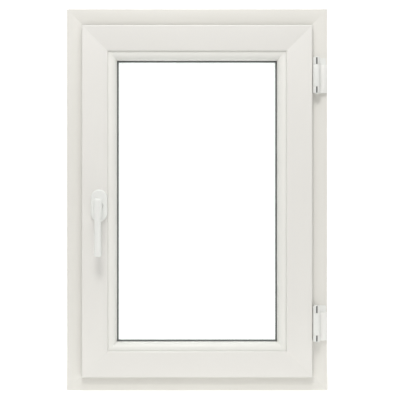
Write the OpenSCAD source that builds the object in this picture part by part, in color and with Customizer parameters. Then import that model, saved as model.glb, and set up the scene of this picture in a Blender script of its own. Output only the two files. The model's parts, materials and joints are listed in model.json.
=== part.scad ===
// Side-hung casement window in welded PVC profiles, seen from the room.
// X runs from the handle side to the hinge side, -Y faces the room, +Y the outside, Z is up.
// The origin is the middle of the outer frame's underside, half way through its depth.
// Sections are drawn as (y, u): y through the wall, u inwards from the edge of their own ring.

/* [Window] */
// Overall width of the outer frame
frame_w = 570; // [450:5:900]
// Overall height of the outer frame
frame_h = 835; // [640:5:1400]
// Depth of the outer frame and of the sash, through the wall
profile_depth = 70; // [66:1:84]
// Face width of the outer frame, up to the rebate floor
frame_face = 42; // [40:1:60]
// Height of the outer upstand that the closed sash shuts against
frame_upstand = 20; // [18:1:24]

/* [Sash] */
// How far the sash flange laps over the frame's face
overlap = 8.5; // [7:0.5:10]
// Gap between the frame's rebate floor and the sash
rebate_gap = 12; // [11.5:0.5:14]
// Width of the sash body, from the rebate side to the glazing rebate
sash_body = 37; // [35:1:50]
// Depth of the glazing rebate, which the bead and the upstand fill
glazing_rebate = 18.5; // [17:0.5:22]
// How far the sash stands proud of the frame's face
sash_proud = 16; // [14:0.5:18]
// Thickness of the flange
flange_t = 12.5; // [10:0.5:12.5]
// How much lower than centred the sash sits in the frame
sash_drop = 3; // [0:0.5:3]

/* [Glass] */
// Thickness of each pane
pane_t = 4; // [3:0.5:6]
// Gap between the panes
pane_gap = 16; // [12:1:18]
// Free space round the edge of the glass, held by packers
glass_play = 5; // [4:0.5:6]
// Width of the spacer bar round the gap
spacer_w = 7; // [6:0.5:8]
// Length of a glazing packer
packer_l = 80; // [60:5:120]

/* [Handle] */
// Height of the handle's axis above the underside of the frame
handle_z = 405; // [300:5:500]
// Distance of the handle's axis from the rebate side of the sash
backset = 18; // [17.5:0.5:20]
// Width of the rosette
rosette_w = 36; // [32:1:40]
// Height of the rosette
rosette_h = 70; // [68:1:80]
// How far the rosette stands off the sash
rosette_t = 10; // [9:0.5:14]
// Length of the lever below its axis
lever_l = 110; // [90:1:140]
// How far the lever's grip stands off the sash
lever_reach = 38; // [34:1:48]
// Side of the square spindle
spindle_w = 7; // [6:0.5:7]
// Distance between the handle's two screws
screw_pitch = 43; // [43:0.5:46]

/* [Espagnolette] */
// Module of the pinion and the rack
gear_module = 1.5; // [1.25:0.05:1.5]
// Teeth on the pinion
pinion_teeth = 14; // [12:1:14]
// Length of the face of the teeth
tooth_face = 9; // [7:0.5:9]
// Width of the faceplate
faceplate_w = 16; // [16:0.5:17]
// Thickness of the faceplate
faceplate_t = 2.7; // [2:0.1:2.8]
// Thickness of the drive rod
rod_t = 2.4; // [2:0.1:2.4]
// Distance of the outer cams above and below the handle's axis
cam_spread = 250; // [180:5:255]
// Height of the middle cam above the handle's axis
cam_middle = 110; // [90:5:140]
// Radius of a cam's roller
roller_r = 4.8; // [4:0.1:4.8]

/* [Hinges] */
// Distance of each hinge's middle from the end of the frame
hinge_inset = 147; // [120:1:200]
// Distance of the hinge axis from the edge of the frame
hinge_edge = 25; // [24.5:0.5:25]
// Radius of the hinge barrel
barrel_r = 7.5; // [6:0.1:7.5]
// Length of the middle knuckle
knuckle_mid = 48; // [40:1:56]
// Length of the upper knuckle
knuckle_top = 15; // [12:1:18]
// Length of the lower knuckle
knuckle_low = 13; // [12:1:18]
// Radius of the hinge pin
pin_r = 3.5; // [3:0.1:3.5]
// Thickness of the hinge leaves
leaf_t = 2.8; // [2:0.1:2.8]

/* [Fixings] */
// Diameter of the holes for the frame fixings
fixing_d = 10.2; // [8.2:0.1:11.2]
// Distance of the frame fixings from the ends of the jambs
fixing_inset = 200; // [180:5:260]

/* [Hidden] */

$fn = 48;
white_pvc = [0.93, 0.92, 0.90];
white_lacquer = [0.95, 0.95, 0.94];
seal_grey = [0.28, 0.29, 0.30];
zinc = [0.75, 0.76, 0.78];
steel_grey = [0.55, 0.56, 0.58];
glass_tint = [0.80, 0.90, 0.88, 0.4];
SIDES = ["bottom", "top", "left", "right"];

wall = 3;          // visible walls of the profiles
web = 1.5;         // walls between the chambers
gap = 0.3;         // between a sliding piece and its guide
seat = 0.1;        // round a piece that is pushed into its seat
eps = 0.01;        // overshoot of a cut that ends on a face
over = 1;          // overshoot of a cut that runs right through

// Rounding of the edges of the profiles
frame_arris = 1.5;
sash_arris = 3;
joint_arris = 4.5; // of the sash, beside the bead
lip_arris = 1;
bead_round = 13;

// Planes through the wall, from the room to the outside
frame_front = -profile_depth / 2;
frame_back = profile_depth / 2;
sash_front = frame_front - sash_proud;
sash_back = sash_front + profile_depth;
flange_back = sash_front + flange_t;
seal_gap = 3;                                   // between the sash and the frame's upstand
upstand_front = sash_back + seal_gap;

// Glass and glazing, through the wall
glass_back = 0;
glass_front = glass_back - 2 * pane_t - pane_gap;
outer_gasket_t = 3;
inner_gasket_t = 3;
gasket_seat = 6;                                // gaskets below the edge of the visible glass
outer_gasket_shows = 1;                         // and above it
inner_gasket_shows = 3.2;
lip_back = glass_back + outer_gasket_t;         // room side of the sash's glazing upstand
bead_back = glass_front - inner_gasket_t;
bead_front = sash_front + joint_arris;
outer_chamber_y = lip_back + 2;                 // sash chamber behind the glazing upstand

// The sash ring and the (y, u) levels of its section, from its own outer edge
lap_edge = frame_face - overlap;                // frame edge to sash edge
sash_w = frame_w - 2 * lap_edge;
sash_h = frame_h - 2 * lap_edge;
sash_z = lap_edge - sash_drop;
v_rebate = overlap + rebate_gap;                // rebate side of the sash body
v_glazing = v_rebate + sash_body;               // floor of the glazing rebate
v_sight = v_glazing + glazing_rebate;           // edge of the visible glass
u_rebate = lap_edge + v_rebate;                 // the same side, from the frame's edge
u_floor = frame_face;                           // floor of the frame's rebate
u_upstand = frame_face + frame_upstand;

// Clip groove of the beads
clip_y0 = sash_front + 7;
clip_y1 = clip_y0 + 5;
clip_depth = 5;
bead_wall = 5;
bead_foot = 3;

// Chambers of the outer frame: y from, y to, u from, u to
frame_steel = [-profile_depth / 4, profile_depth / 4, wall, frame_face - wall];
frame_chambers = [
    [frame_front + wall, frame_steel[0] - web, wall, frame_face - wall],
    frame_steel,
    [frame_steel[1] + web, frame_back - wall, wall, frame_face - wall],
    [upstand_front + wall - 0.5, frame_back - wall, frame_face - wall / 3, u_upstand - wall]
];

// Hardware groove round the sash: a seat for the faceplate over a slot for the rod
groove_y = sash_front + 25.5;
seat_depth = 3;
seat_w = faceplate_w + 2 * seat;
slot_depth = 6;
rod_w = 11.8;
slot_w = rod_w + 2 * gap;

// Chambers of the sash: y from, y to, v from, v to
steel_bay = 18;
front_bay = 14;                                 // from the room face to the first web
sash_steel = [outer_chamber_y - web - steel_bay, outer_chamber_y - web];
sash_steel_bay = [sash_steel[0], sash_steel[1], v_rebate + wall, v_glazing - wall];
clip_web = v_glazing - clip_depth - web;
sash_chambers = [
    [sash_front + wall, flange_back - wall, wall, v_rebate + wall],
    [sash_front + wall, sash_front + front_bay, v_rebate + wall + web, clip_web],
    [sash_front + front_bay + web, sash_steel[0] - web,
        v_rebate + seat_depth + slot_depth + web, v_glazing - wall],
    sash_steel_bay,
    [outer_chamber_y, sash_back - wall, v_rebate + wall, v_sight - wall]
];

// Seals, as u from the edge of their own ring: from, to, and the same for their bulbs
frame_seal_u = [u_upstand - 4.5, u_upstand - 0.5];
frame_bulb_u = [frame_seal_u[0] + 0.8, frame_seal_u[1] - 0.8];
sash_seal_u = [1.5, 6];
sash_bulb_u = [sash_seal_u[0] + 0.8, sash_seal_u[1] - 0.8];
seal_foot_t = 1;

// Steel channels
steel_t = 1.5;
steel_play = 0.4;
frame_steel_inset = 78;
sash_steel_inset = 66;

// Glass sizes, inside the sash ring
v_glass = v_glazing + glass_play;
spacer_shows = 2.8;
v_spacer = v_sight + spacer_shows - spacer_w;

// Handle and gear
axis_u = u_rebate + backset;
axis_x = -frame_w / 2 + axis_u;
pitch_r = gear_module * pinion_teeth / 2;
tip_r = pitch_r + gear_module;
root_r = pitch_r - 1.25 * gear_module;
pressure_angle = 20;
base_r = pitch_r * cos(pressure_angle);
tooth_play = 0.16;
half_tooth = 90 / pinion_teeth - atan(tooth_play / pitch_r);
travel = pitch_r * PI / 2;
rod_u = u_rebate + seat_depth + 0.1;            // side of the rod that faces the faceplate
rack_pitch_u = axis_u - pitch_r;
rack_tip = 0.7 * gear_module;
rack_root_u = rod_u + rod_t;
rack_pitch = PI * gear_module;
rack_from = -rack_pitch * 1.5;
rack_to = travel + rack_pitch * 1.5;
case_wall = 1.5;
case_w = tooth_face + 2 * (case_wall + gap);
case_h = 66;
case_u0 = rod_u + rod_t + gap;
case_u1 = axis_u + tip_r + 1 + case_wall;
case_bay = tip_r + 1.2;                         // half the height of the pinion's bay
hub_r = 6;
hub_play = 0.05;
pocket_play = 0.4;
rivet_r = 2;
rivet_z = 28;
rivet_end = axis_x - 4;
plate_end = 42;                                 // from the faceplate's end to the sash body's
plate_l = sash_h - 2 * v_rebate - 2 * plate_end;
plate_mid = sash_z + sash_h / 2;
plate_screw_end = 12;                           // from the faceplate's end to its first screw
plate_screw_mid = 60;                           // from the handle's axis to its middle screws
plate_screw_l = 16;
faceplate_x = -frame_w / 2 + u_rebate;
faceplate_screw_levels = [plate_mid - plate_l / 2 + plate_screw_end, handle_z - plate_screw_mid,
    handle_z + plate_screw_mid, plate_mid + plate_l / 2 - plate_screw_end];
cam_levels = [-cam_spread, cam_middle, cam_spread];
stem_r = 3;
cam_tail_r = 2;
cam_tip_u = u_floor + 3.5;
collar_r = roller_r + 0.4;
collar_t = 1.5;
roller_gap = 0.6;                               // between the rollers and the faceplate
rod_end = 20;                                   // rod beyond its outer cams

// Striker plates
striker_t = 2;
striker_l = 72;
lip_t = 3;
lip_u = u_floor + 6.5;
lip_y = groove_y - collar_r - 0.5 - lip_t;
lip_y_room = 5;                                 // plate beyond the cam, on the outer side
lip_below = 6;
lip_above = 14;
striker_screw_z = 28;
striker_screw_l = 12;

// Handle
cover_lift = 0.05;                              // of the covers off the faces behind them
cover_shell = 1.6;                              // wall of the rosette's cover
neck_r = 9.2;
neck_play = 0.15;
base_t = 4.6;
spindle_play = 0.1;
screw_r = 2.5;
screw_play = 0.3;
screw_bite = 5;                                 // handle screws beyond the face of the steel
lever_head = 15.5;                              // top of the lever above the axis
head_r = 9.8;
grip_w = 14.6;
grip_t = 11;
grip_y = sash_front - lever_reach - grip_t / 2;
ring_t = 1.2;
ring_y = sash_front - base_t - 0.2;             // outer side of the retaining ring
ring_seat_r = neck_r - 1;
blade_top = 26;                                 // below the axis, where the grip starts
blade_low = 70;                                 // and where it starts to flare
spindle_seat = sash_front - rosette_t - 14;     // bottom of the lever's square socket

// Hinges
bush_t = 1.4;
hinge_x = frame_w / 2 - hinge_edge;
hinge_y = sash_front;
hinge_levels = [hinge_inset, frame_h - hinge_inset];
hinge_body_r = pin_r + bush_t;                  // bore of the middle knuckle
knuckle_gap = 0.4;
knuckle_web = 7;                                // width of the web behind a knuckle
knuckle_half = knuckle_mid / 2 + knuckle_gap;
knuckle_spans = [[knuckle_half, knuckle_half + knuckle_top],
    [-knuckle_half - knuckle_low, -knuckle_half]];
bush_flange_t = 0.3;
pin_play = 0.04;
pin_head = 2;
pin_head_r = pin_r + 1.5;
sash_leaf_y = flange_back + seat;               // leaf against the flange's inner face
sash_rebate_x = frame_w / 2 - u_rebate;
sash_leaf_depth = 34;
sash_leaf_screw_y = sash_steel[0] + 4.5;
frame_leaf_z = [-35, knuckle_spans[0][1]];      // the plate's ends, from the hinge's middle
frame_leaf_x = hinge_x + 4.2;
frame_leaf_end = frame_w / 2 - 3;
frame_screw_x = frame_w / 2 - 12;
frame_screw_levels = [-24, 14];                 // from the hinge's middle
frame_screw_l = 26;
sash_screw_z = 16;
sash_screw_l = 14;
cover_wall = 1.4;
cover_gap = 0.2;                                // between the cover and the leaf inside it
cover_z = [frame_leaf_z[0] - cover_wall - cover_gap, knuckle_spans[0][0] - cover_gap];
slot_open = 3;                                  // open seam along the front of the frame's knuckles
cover_x = frame_w / 2 - 17.4;
cover_t = 9.4;
pilot_r = 2;
small_screw_r = 1.7;

// Fixings and drainage
fixing_z = [fixing_inset, frame_h - fixing_inset];
drain_x = frame_w / 4;
drain_l = 26;
drain_h = 5;
drain_z = 14;
cap_l = 42;
cap_h = 14;
cap_t = 4;

// ---------- Profiles ----------

// Points that round a square corner of a section, over the quarter turn down from an angle
function round_corner(corner, r, from, steps = 5) =
    let (middle = from - 45,
        centre = corner - r * [sign(cos(middle)), sign(sin(middle))])
    [for (i = [0:steps]) let (a = from - 90 * i / steps) centre + r * [cos(a), sin(a)]];

function frame_section() = concat(
    [[frame_front, 0]],
    round_corner([frame_front, frame_face], frame_arris, 180, 3),
    [[upstand_front, frame_face]],
    round_corner([upstand_front, u_upstand], frame_arris, 180, 3),
    round_corner([frame_back, u_upstand], frame_arris, 90, 3),
    [[frame_back, 0]]
);

function sash_section() = concat(
    round_corner([sash_front, 0], sash_arris, 270),
    round_corner([sash_front, v_glazing], joint_arris, 180),
    [[lip_back, v_glazing]],
    round_corner([lip_back, v_sight], lip_arris, 180, 2),
    round_corner([sash_back, v_sight], sash_arris, 90),
    [[sash_back, v_rebate], [flange_back, v_rebate], [flange_back, 0]]
);

function bead_section() = concat(
    [[bead_front, v_glazing]],
    round_corner([bead_front, v_sight], bead_round, 180, 8),
    [[bead_back, v_sight], [bead_back, v_glazing]]
);

// Stands a bar drawn along X, with u upwards, on one side of a ring w by h
module at_side(side, w, h, z) {
    if (side == "bottom") translate([0, 0, z]) children();
    if (side == "top") translate([0, 0, z + h]) rotate([0, 180, 0]) children();
    if (side == "left") translate([-w / 2, 0, z + h / 2]) rotate([0, 90, 0]) children();
    if (side == "right") translate([w / 2, 0, z + h / 2]) rotate([0, -90, 0]) children();
}

function side_length(side, w, h) = side == "bottom" || side == "top" ? w : h;

// A bar along X of a (y, u) outline
module profile(length, section)
    translate([-length / 2, 0, 0])
        rotate([90, 0, 90])
            linear_extrude(length) polygon(section);

// A bar along X of a (y, u) rectangle given as y from, y to, u from, u to
module box_bar(length, r)
    translate([-length / 2, r[0], r[2]]) cube([length, r[1] - r[0], r[3] - r[2]]);

// Cuts a bar's ends at 45 degrees where it meets its neighbours in the ring
module mitre(length, reach)
    intersection() {
        children();
        rotate([90, 0, 0])
            linear_extrude(4 * profile_depth, center = true)
                polygon([[-length / 2, 0], [length / 2, 0],
                    [length / 2 - reach, reach], [-length / 2 + reach, reach]]);
    }

// A closed ring of a (y, u) rectangle inside a ring w by h
module box_ring(w, h, z, r)
    difference() {
        translate([-w / 2 + r[2], r[0], z + r[2]])
            cube([w - 2 * r[2], r[1] - r[0], h - 2 * r[2]]);
        translate([-w / 2 + r[3], r[0] - eps, z + r[3]])
            cube([w - 2 * r[3], r[1] - r[0] + 2 * eps, h - 2 * r[3]]);
    }

module frame_bar(side) {
    length = side_length(side, frame_w, frame_h);
    at_side(side, frame_w, frame_h, 0)
        mitre(length, u_upstand + over)
            difference() {
                profile(length, frame_section());
                for (r = frame_chambers) box_bar(length + over, r);
            }
}

module sash_bar(side) {
    length = side_length(side, sash_w, sash_h);
    at_side(side, sash_w, sash_h, sash_z)
        mitre(length, v_sight + over)
            difference() {
                profile(length, sash_section());
                for (r = sash_chambers) box_bar(length + over, r);
                box_bar(length + over, [groove_y - seat_w / 2, groove_y + seat_w / 2,
                    v_rebate - over, v_rebate + seat_depth]);
                box_bar(length + over, [groove_y - slot_w / 2, groove_y + slot_w / 2,
                    v_rebate, v_rebate + seat_depth + slot_depth]);
                box_bar(length + over,
                    [clip_y0, clip_y1, v_glazing - clip_depth, v_glazing + over]);
            }
}

// A cylinder along X from x0 to x1
module rod_x(r, x0, x1, y, z)
    translate([x0, y, z]) rotate([0, 90, 0]) cylinder(r = r, h = x1 - x0);

// A cylinder along Y from y0 to y1
module rod_y(r, y0, y1, x, z)
    translate([x, y0, z]) rotate([-90, 0, 0]) cylinder(r = r, h = y1 - y0);

// A bar with round ends, standing in the XZ plane from y0 to y1
module stadium(w, h, y0, y1, x, z) {
    for (s = [-1, 1]) rod_y(w / 2, y0, y1, x, z + s * (h - w) / 2);
    translate([x - w / 2, y0, z - (h - w) / 2]) cube([w, y1 - y0, h - w]);
}

// A countersunk screw pointing along +Z with its flat head at z = 0
module screw(r, length)
    rotate_extrude()
        polygon([[0, 0], [2 * r, 0], [2 * r, 0.4], [r, 0.4 + r], [r, length - r],
            [0, length]]);

module screw_cut(r)
    rotate_extrude()
        polygon([[0, -eps], [2 * r + seat, -eps], [2 * r + seat, 0.4], [r + seat, 0.4 + r],
            [0, 0.4 + r]]);

// ---------- Outer frame ----------

module fixing_holes(side)
    for (z = fixing_z)
        rod_x(fixing_d / 2, side * frame_w / 2 - u_floor - over,
            side * frame_w / 2 + u_floor + over, 0, z);

module drainage_slots()
    for (s = [-1, 1])
        translate([s * drain_x - drain_l / 2, frame_steel[1] + web, drain_z])
            cube([drain_l, frame_back, drain_h]);

module frame_head() color(white_pvc) frame_bar("top");

module frame_sill()
    color(white_pvc)
        difference() {
            frame_bar("bottom");
            difference() {
                drainage_slots();
                translate([-frame_w, 0, 0]) cube([2 * frame_w, frame_back - wall - 1, frame_h]);
            }
        }

module frame_jamb_handle()
    color(white_pvc)
        difference() {
            frame_bar("left");
            fixing_holes(-1);
            for (level = cam_levels, s = [-1, 1])
                rod_x(pilot_r, -frame_w / 2 + u_floor - 2 * wall, -frame_w / 2 + u_floor + over,
                    groove_y, handle_z + level + s * striker_screw_z);
        }

module frame_jamb_hinge()
    color(white_pvc)
        difference() {
            frame_bar("right");
            fixing_holes(1);
            for (z = hinge_levels, level = frame_screw_levels)
                rod_y(pilot_r, frame_front - over, frame_steel[0] + over, frame_screw_x,
                    z + level);
        }

// A channel open towards the outside of its ring, along X
module channel(length, r, t)
    difference() {
        box_bar(length, r);
        box_bar(length + over, [r[0] + t, r[1] - t, r[2] - over, r[3] - t]);
    }

function shrunk(r, play) = [r[0] + play, r[1] - play, r[2] + play, r[3] - play];

module frame_reinforcements()
    color(steel_grey)
        difference() {
            for (side = SIDES)
                at_side(side, frame_w, frame_h, 0)
                    channel(side_length(side, frame_w, frame_h) - 2 * frame_steel_inset,
                        shrunk(frame_steel, steel_play), steel_t);
            fixing_holes(-1);
            fixing_holes(1);
            for (z = hinge_levels, level = frame_screw_levels)
                rod_y(pilot_r, frame_front, 0, frame_screw_x, z + level);
        }

module frame_gasket()
    color(seal_grey) {
        box_ring(frame_w, frame_h, 0,
            [upstand_front - seal_foot_t, upstand_front, frame_seal_u[0], frame_seal_u[1]]);
        box_ring(frame_w, frame_h, 0,
            [sash_back + gap, upstand_front - seal_foot_t + eps, frame_bulb_u[0],
                frame_bulb_u[1]]);
    }

module drainage_caps()
    color(white_pvc)
        for (s = [-1, 1])
            difference() {
                translate([s * drain_x - cap_l / 2, frame_back, drain_z - 4])
                    cube([cap_l, cap_t, cap_h]);
                translate([s * drain_x - drain_l / 2, frame_back - 1, drain_z - 5])
                    cube([drain_l, cap_t - 0.2, cap_h - 2]);
            }

module striker_plates()
    color(zinc)
        for (level = cam_levels)
            translate([-frame_w / 2 + u_floor, 0, handle_z + level])
                difference() {
                    union() {
                        translate([0, lip_y, -striker_l / 2])
                            cube([striker_t, groove_y + collar_r + lip_y_room - lip_y, striker_l]);
                        translate([0, lip_y, -lip_below])
                            cube([lip_u - u_floor, lip_t, lip_below + lip_above]);
                    }
                    for (s = [-1, 1])
                        translate([striker_t, groove_y, s * striker_screw_z])
                            rotate([0, -90, 0]) {
                                screw_cut(small_screw_r);
                                cylinder(r = pilot_r, h = 2 * striker_t);
                            }
                }

module striker_screws()
    color(zinc)
        for (level = cam_levels, s = [-1, 1])
            translate([-frame_w / 2 + u_floor + striker_t, groove_y,
                handle_z + level + s * striker_screw_z])
                rotate([0, -90, 0]) screw(small_screw_r, striker_screw_l);

// ---------- Sash ----------

module case_pocket()
    translate([-frame_w / 2 + u_rebate, groove_y - case_w / 2 - pocket_play,
        handle_z - case_h / 2 - pocket_play])
        cube([case_u1 - u_rebate + pocket_play, case_w + 2 * pocket_play,
            case_h + 2 * pocket_play]);

module sash_top_rail() color(white_pvc) sash_bar("top");

module sash_bottom_rail() color(white_pvc) sash_bar("bottom");

module sash_stile_handle()
    color(white_pvc)
        difference() {
            sash_bar("left");
            case_pocket();
            rod_y(hub_r, sash_front - over, groove_y, axis_x, handle_z);
            for (s = [-1, 1]) {
                rod_y(screw_r + screw_play, sash_front - over, groove_y, axis_x,
                    handle_z + s * screw_pitch / 2);
                rod_y(screw_r, groove_y, sash_steel[0] + over, axis_x,
                    handle_z + s * screw_pitch / 2);
            }
            for (z = faceplate_screw_levels)
                rod_x(pilot_r, faceplate_x, faceplate_x + plate_screw_l + 2, groove_y, z);
        }

module sash_stile_hinge()
    color(white_pvc)
        difference() {
            sash_bar("right");
            for (z = hinge_levels, s = [-1, 1])
                rod_x(pilot_r, sash_rebate_x - wall - over, sash_rebate_x + over, sash_leaf_screw_y,
                    z + s * sash_screw_z);
        }

module sash_reinforcements()
    color(steel_grey)
        difference() {
            for (side = SIDES)
                at_side(side, sash_w, sash_h, sash_z)
                    mirror([0, 0, 1])
                        channel(side_length(side, sash_w, sash_h) - 2 * sash_steel_inset
                            - 2 * v_rebate,
                            let (r = shrunk(sash_steel_bay, steel_play))
                                [r[0], r[1], -r[3], -r[2]], steel_t);
            for (z = hinge_levels, s = [-1, 1])
                rod_x(pilot_r, sash_rebate_x - sash_screw_l, sash_rebate_x, sash_leaf_screw_y,
                    z + s * sash_screw_z);
            for (s = [-1, 1])
                rod_y(screw_r, sash_steel[0], sash_steel[0] + screw_bite + over, axis_x,
                    handle_z + s * screw_pitch / 2);
        }

module sash_gasket()
    color(seal_grey)
        difference() {
            union() {
                box_ring(sash_w, sash_h, sash_z,
                    [flange_back, flange_back + seal_foot_t, sash_seal_u[0], sash_seal_u[1]]);
                box_ring(sash_w, sash_h, sash_z,
                    [flange_back + seal_foot_t - eps, frame_front - gap, sash_bulb_u[0],
                        sash_bulb_u[1]]);
            }
            for (z = hinge_levels)
                translate([sash_rebate_x, flange_back - over, z - knuckle_mid / 2 - gap])
                    cube([frame_w, profile_depth, knuckle_mid + 2 * gap]);
        }

module glazing_gasket_outer()
    color(seal_grey)
        box_ring(sash_w, sash_h, sash_z,
            [glass_back, lip_back, v_sight - gasket_seat, v_sight + outer_gasket_shows]);

module glazing_gasket_inner()
    color(seal_grey)
        box_ring(sash_w, sash_h, sash_z,
            [bead_back, glass_front, v_sight - gasket_seat - over, v_sight + inner_gasket_shows]);

module glazing_bead(side) {
    length = side_length(side, sash_w, sash_h);
    color(white_pvc)
        at_side(side, sash_w, sash_h, sash_z)
            mitre(length, v_sight + over)
                difference() {
                    union() {
                        profile(length, bead_section());
                        box_bar(length, [clip_y0 + gap, clip_y1 - gap,
                            v_glazing - clip_depth + gap, v_glazing + eps]);
                    }
                    box_bar(length + over, [bead_front + bead_wall, bead_back - bead_foot,
                        v_glazing + bead_foot, v_sight - bead_wall - over]);
                }
}

module glazing_bead_top() glazing_bead("top");
module glazing_bead_bottom() glazing_bead("bottom");
module glazing_bead_left() glazing_bead("left");
module glazing_bead_right() glazing_bead("right");

module pane(y)
    color(glass_tint)
        translate([-sash_w / 2 + v_glass, y, sash_z + v_glass])
            cube([sash_w - 2 * v_glass, pane_t, sash_h - 2 * v_glass]);

module glass_inner_pane() pane(glass_front);
module glass_outer_pane() pane(glass_back - pane_t);

module spacer_bar()
    color(steel_grey)
        box_ring(sash_w, sash_h, sash_z,
            [glass_front + pane_t, glass_back - pane_t, v_spacer, v_spacer + spacer_w]);

module edge_sealant()
    color(seal_grey)
        box_ring(sash_w, sash_h, sash_z,
            [glass_front + pane_t, glass_back - pane_t, v_glass, v_spacer]);

module glazing_packers()
    color([0.2, 0.35, 0.6])
        for (side = SIDES, s = [-1, 1])
            at_side(side, sash_w, sash_h, sash_z)
                translate([s * (side_length(side, sash_w, sash_h) / 2 - v_glass - packer_l)
                    - packer_l / 2, glass_front, v_glazing])
                    cube([packer_l, glass_back - glass_front, glass_play]);

// ---------- Espagnolette ----------

// A slot along Z through a plate that faces X
module slot_x(r, x0, x1, y, z0, z1) {
    rod_x(r, x0, x1, y, z0);
    rod_x(r, x0, x1, y, z1);
    translate([x0, y - r, z0]) cube([x1 - x0, 2 * r, z1 - z0]);
}

module espagnolette_faceplate()
    color(zinc)
        difference() {
            slot_x(faceplate_w / 2, faceplate_x, faceplate_x + faceplate_t, groove_y,
                plate_mid - plate_l / 2 + faceplate_w / 2,
                plate_mid + plate_l / 2 - faceplate_w / 2);
            for (level = cam_levels)
                slot_x(stem_r + gap, faceplate_x - over, faceplate_x + faceplate_t + over,
                    groove_y, handle_z + level - travel - over, handle_z + level + over);
            for (s = [-1, 1])
                rod_x(rivet_r, faceplate_x - over, faceplate_x + faceplate_t + over, groove_y,
                    handle_z + s * rivet_z);
            for (z = faceplate_screw_levels)
                translate([faceplate_x, groove_y, z]) rotate([0, 90, 0]) {
                    screw_cut(small_screw_r);
                    cylinder(r = pilot_r, h = 2 * faceplate_t);
                }
        }

module faceplate_screws()
    color(zinc)
        for (z = faceplate_screw_levels)
            translate([faceplate_x, groove_y, z]) rotate([0, 90, 0]) screw(small_screw_r, plate_screw_l);

module gear_case()
    color(zinc)
        difference() {
            translate([-frame_w / 2 + case_u0, groove_y - case_w / 2, handle_z - case_h / 2])
                cube([case_u1 - case_u0, case_w, case_h]);
            translate([-frame_w / 2 + case_u0 - over, groove_y - case_w / 2 + case_wall,
                handle_z - case_bay])
                cube([case_u1 - case_u0 + over - case_wall, case_w - 2 * case_wall,
                    2 * case_bay]);
            // the rack's teeth slide past the blocks at both ends of the bay
            translate([-frame_w / 2 + case_u0 - over, groove_y - case_w / 2 + case_wall,
                handle_z - case_h])
                cube([rack_pitch_u + rack_tip + gap - case_u0 + over, case_w - 2 * case_wall,
                    2 * case_h]);
            rod_y(hub_r + hub_play, groove_y - case_w, groove_y + case_w, axis_x, handle_z);
            for (s = [-1, 1]) {
                rod_y(screw_r + screw_play, groove_y - case_w, groove_y + case_w, axis_x,
                    handle_z + s * screw_pitch / 2);
                rod_x(rivet_r, faceplate_x, rivet_end, groove_y, handle_z + s * rivet_z);
            }
        }

module gear_case_rivets()
    color(zinc)
        for (s = [-1, 1])
            rod_x(rivet_r, faceplate_x, rivet_end, groove_y, handle_z + s * rivet_z);

// One tooth of the rack along Z, as (u, z)
function rack_tooth(z) =
    let (half = rack_pitch / 4 - tooth_play,
        low = half + (rack_pitch_u - rack_root_u) * tan(pressure_angle),
        high = half - rack_tip * tan(pressure_angle))
    [[rack_root_u - eps, z - low], [rack_pitch_u + rack_tip, z - high],
        [rack_pitch_u + rack_tip, z + high], [rack_root_u - eps, z + low]];

module drive_rod()
    color(zinc)
        difference() {
            translate([-frame_w / 2, groove_y, handle_z]) {
                translate([rod_u, -rod_w / 2, -cam_spread - rod_end])
                    cube([rod_t, rod_w, 2 * cam_spread + 2 * rod_end]);
                for (i = [ceil(rack_from / rack_pitch) : floor(rack_to / rack_pitch)])
                    rotate([90, 0, 0])
                        linear_extrude(tooth_face, center = true)
                            polygon(rack_tooth(i * rack_pitch));
            }
            for (z = [-rivet_z, rivet_z, -plate_screw_mid, plate_screw_mid])
                slot_x(max(rivet_r, pilot_r) + gap, faceplate_x, axis_x - pitch_r, groove_y,
                    handle_z + z - gap, handle_z + z + travel + gap);
            for (level = cam_levels)
                rod_x(cam_tail_r, faceplate_x, axis_x, groove_y, handle_z + level);
        }

// A cam turned about X: tail through the rod, stem through the faceplate, roller and collar
module locking_cams()
    color(zinc)
        for (level = cam_levels)
            translate([-frame_w / 2 + cam_tip_u, groove_y, handle_z + level])
                rotate([0, 90, 0])
                    rotate_extrude()
                        polygon([[0, 0], [collar_r - 0.6, 0], [collar_r, 0.6],
                            [collar_r, collar_t], [roller_r, collar_t],
                            [roller_r, u_rebate - cam_tip_u - roller_gap],
                            [stem_r, u_rebate - cam_tip_u - roller_gap],
                            [stem_r, rod_u - cam_tip_u],
                            [cam_tail_r, rod_u - cam_tip_u],
                            [cam_tail_r, rod_u + rod_t - cam_tip_u],
                            [0, rod_u + rod_t - cam_tip_u]]);

// Involute flank of one tooth, from the base circle to the tip
function involute(r) = sqrt(pow(r / base_r, 2) - 1) * 180 / PI - acos(base_r / r);

function flank(sign) =
    [for (i = [0:5]) let (r = base_r + (tip_r - base_r) * i / 5,
        a = sign * (half_tooth + involute(pitch_r) - involute(r)))
        r * [cos(a), sin(a)]];

module pinion_blank()
    union() {
        circle(r = root_r);
        for (i = [0:pinion_teeth - 1])
            rotate(180 + (i + 0.5) * 360 / pinion_teeth)
                polygon(concat(
                    [(root_r - 0.5) * [cos(half_tooth), -sin(half_tooth)]], flank(-1),
                    [for (k = [5:-1:0]) flank(1)[k]],
                    [(root_r - 0.5) * [cos(half_tooth), sin(half_tooth)]]));
    }

module square_bar(w, y0, y1)
    translate([axis_x - w / 2, y0, handle_z - w / 2]) cube([w, y1 - y0, w]);

module gear_pinion()
    color(zinc)
        difference() {
            union() {
                translate([axis_x, groove_y, handle_z])
                    rotate([90, 0, 0])
                        linear_extrude(tooth_face, center = true) pinion_blank();
                rod_y(hub_r, groove_y - case_w / 2 + seat, groove_y + case_w / 2 - seat, axis_x,
                    handle_z);
            }
            square_bar(spindle_w + 2 * spindle_play, groove_y - case_w, groove_y + case_w);
        }

// ---------- Handle ----------

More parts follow.
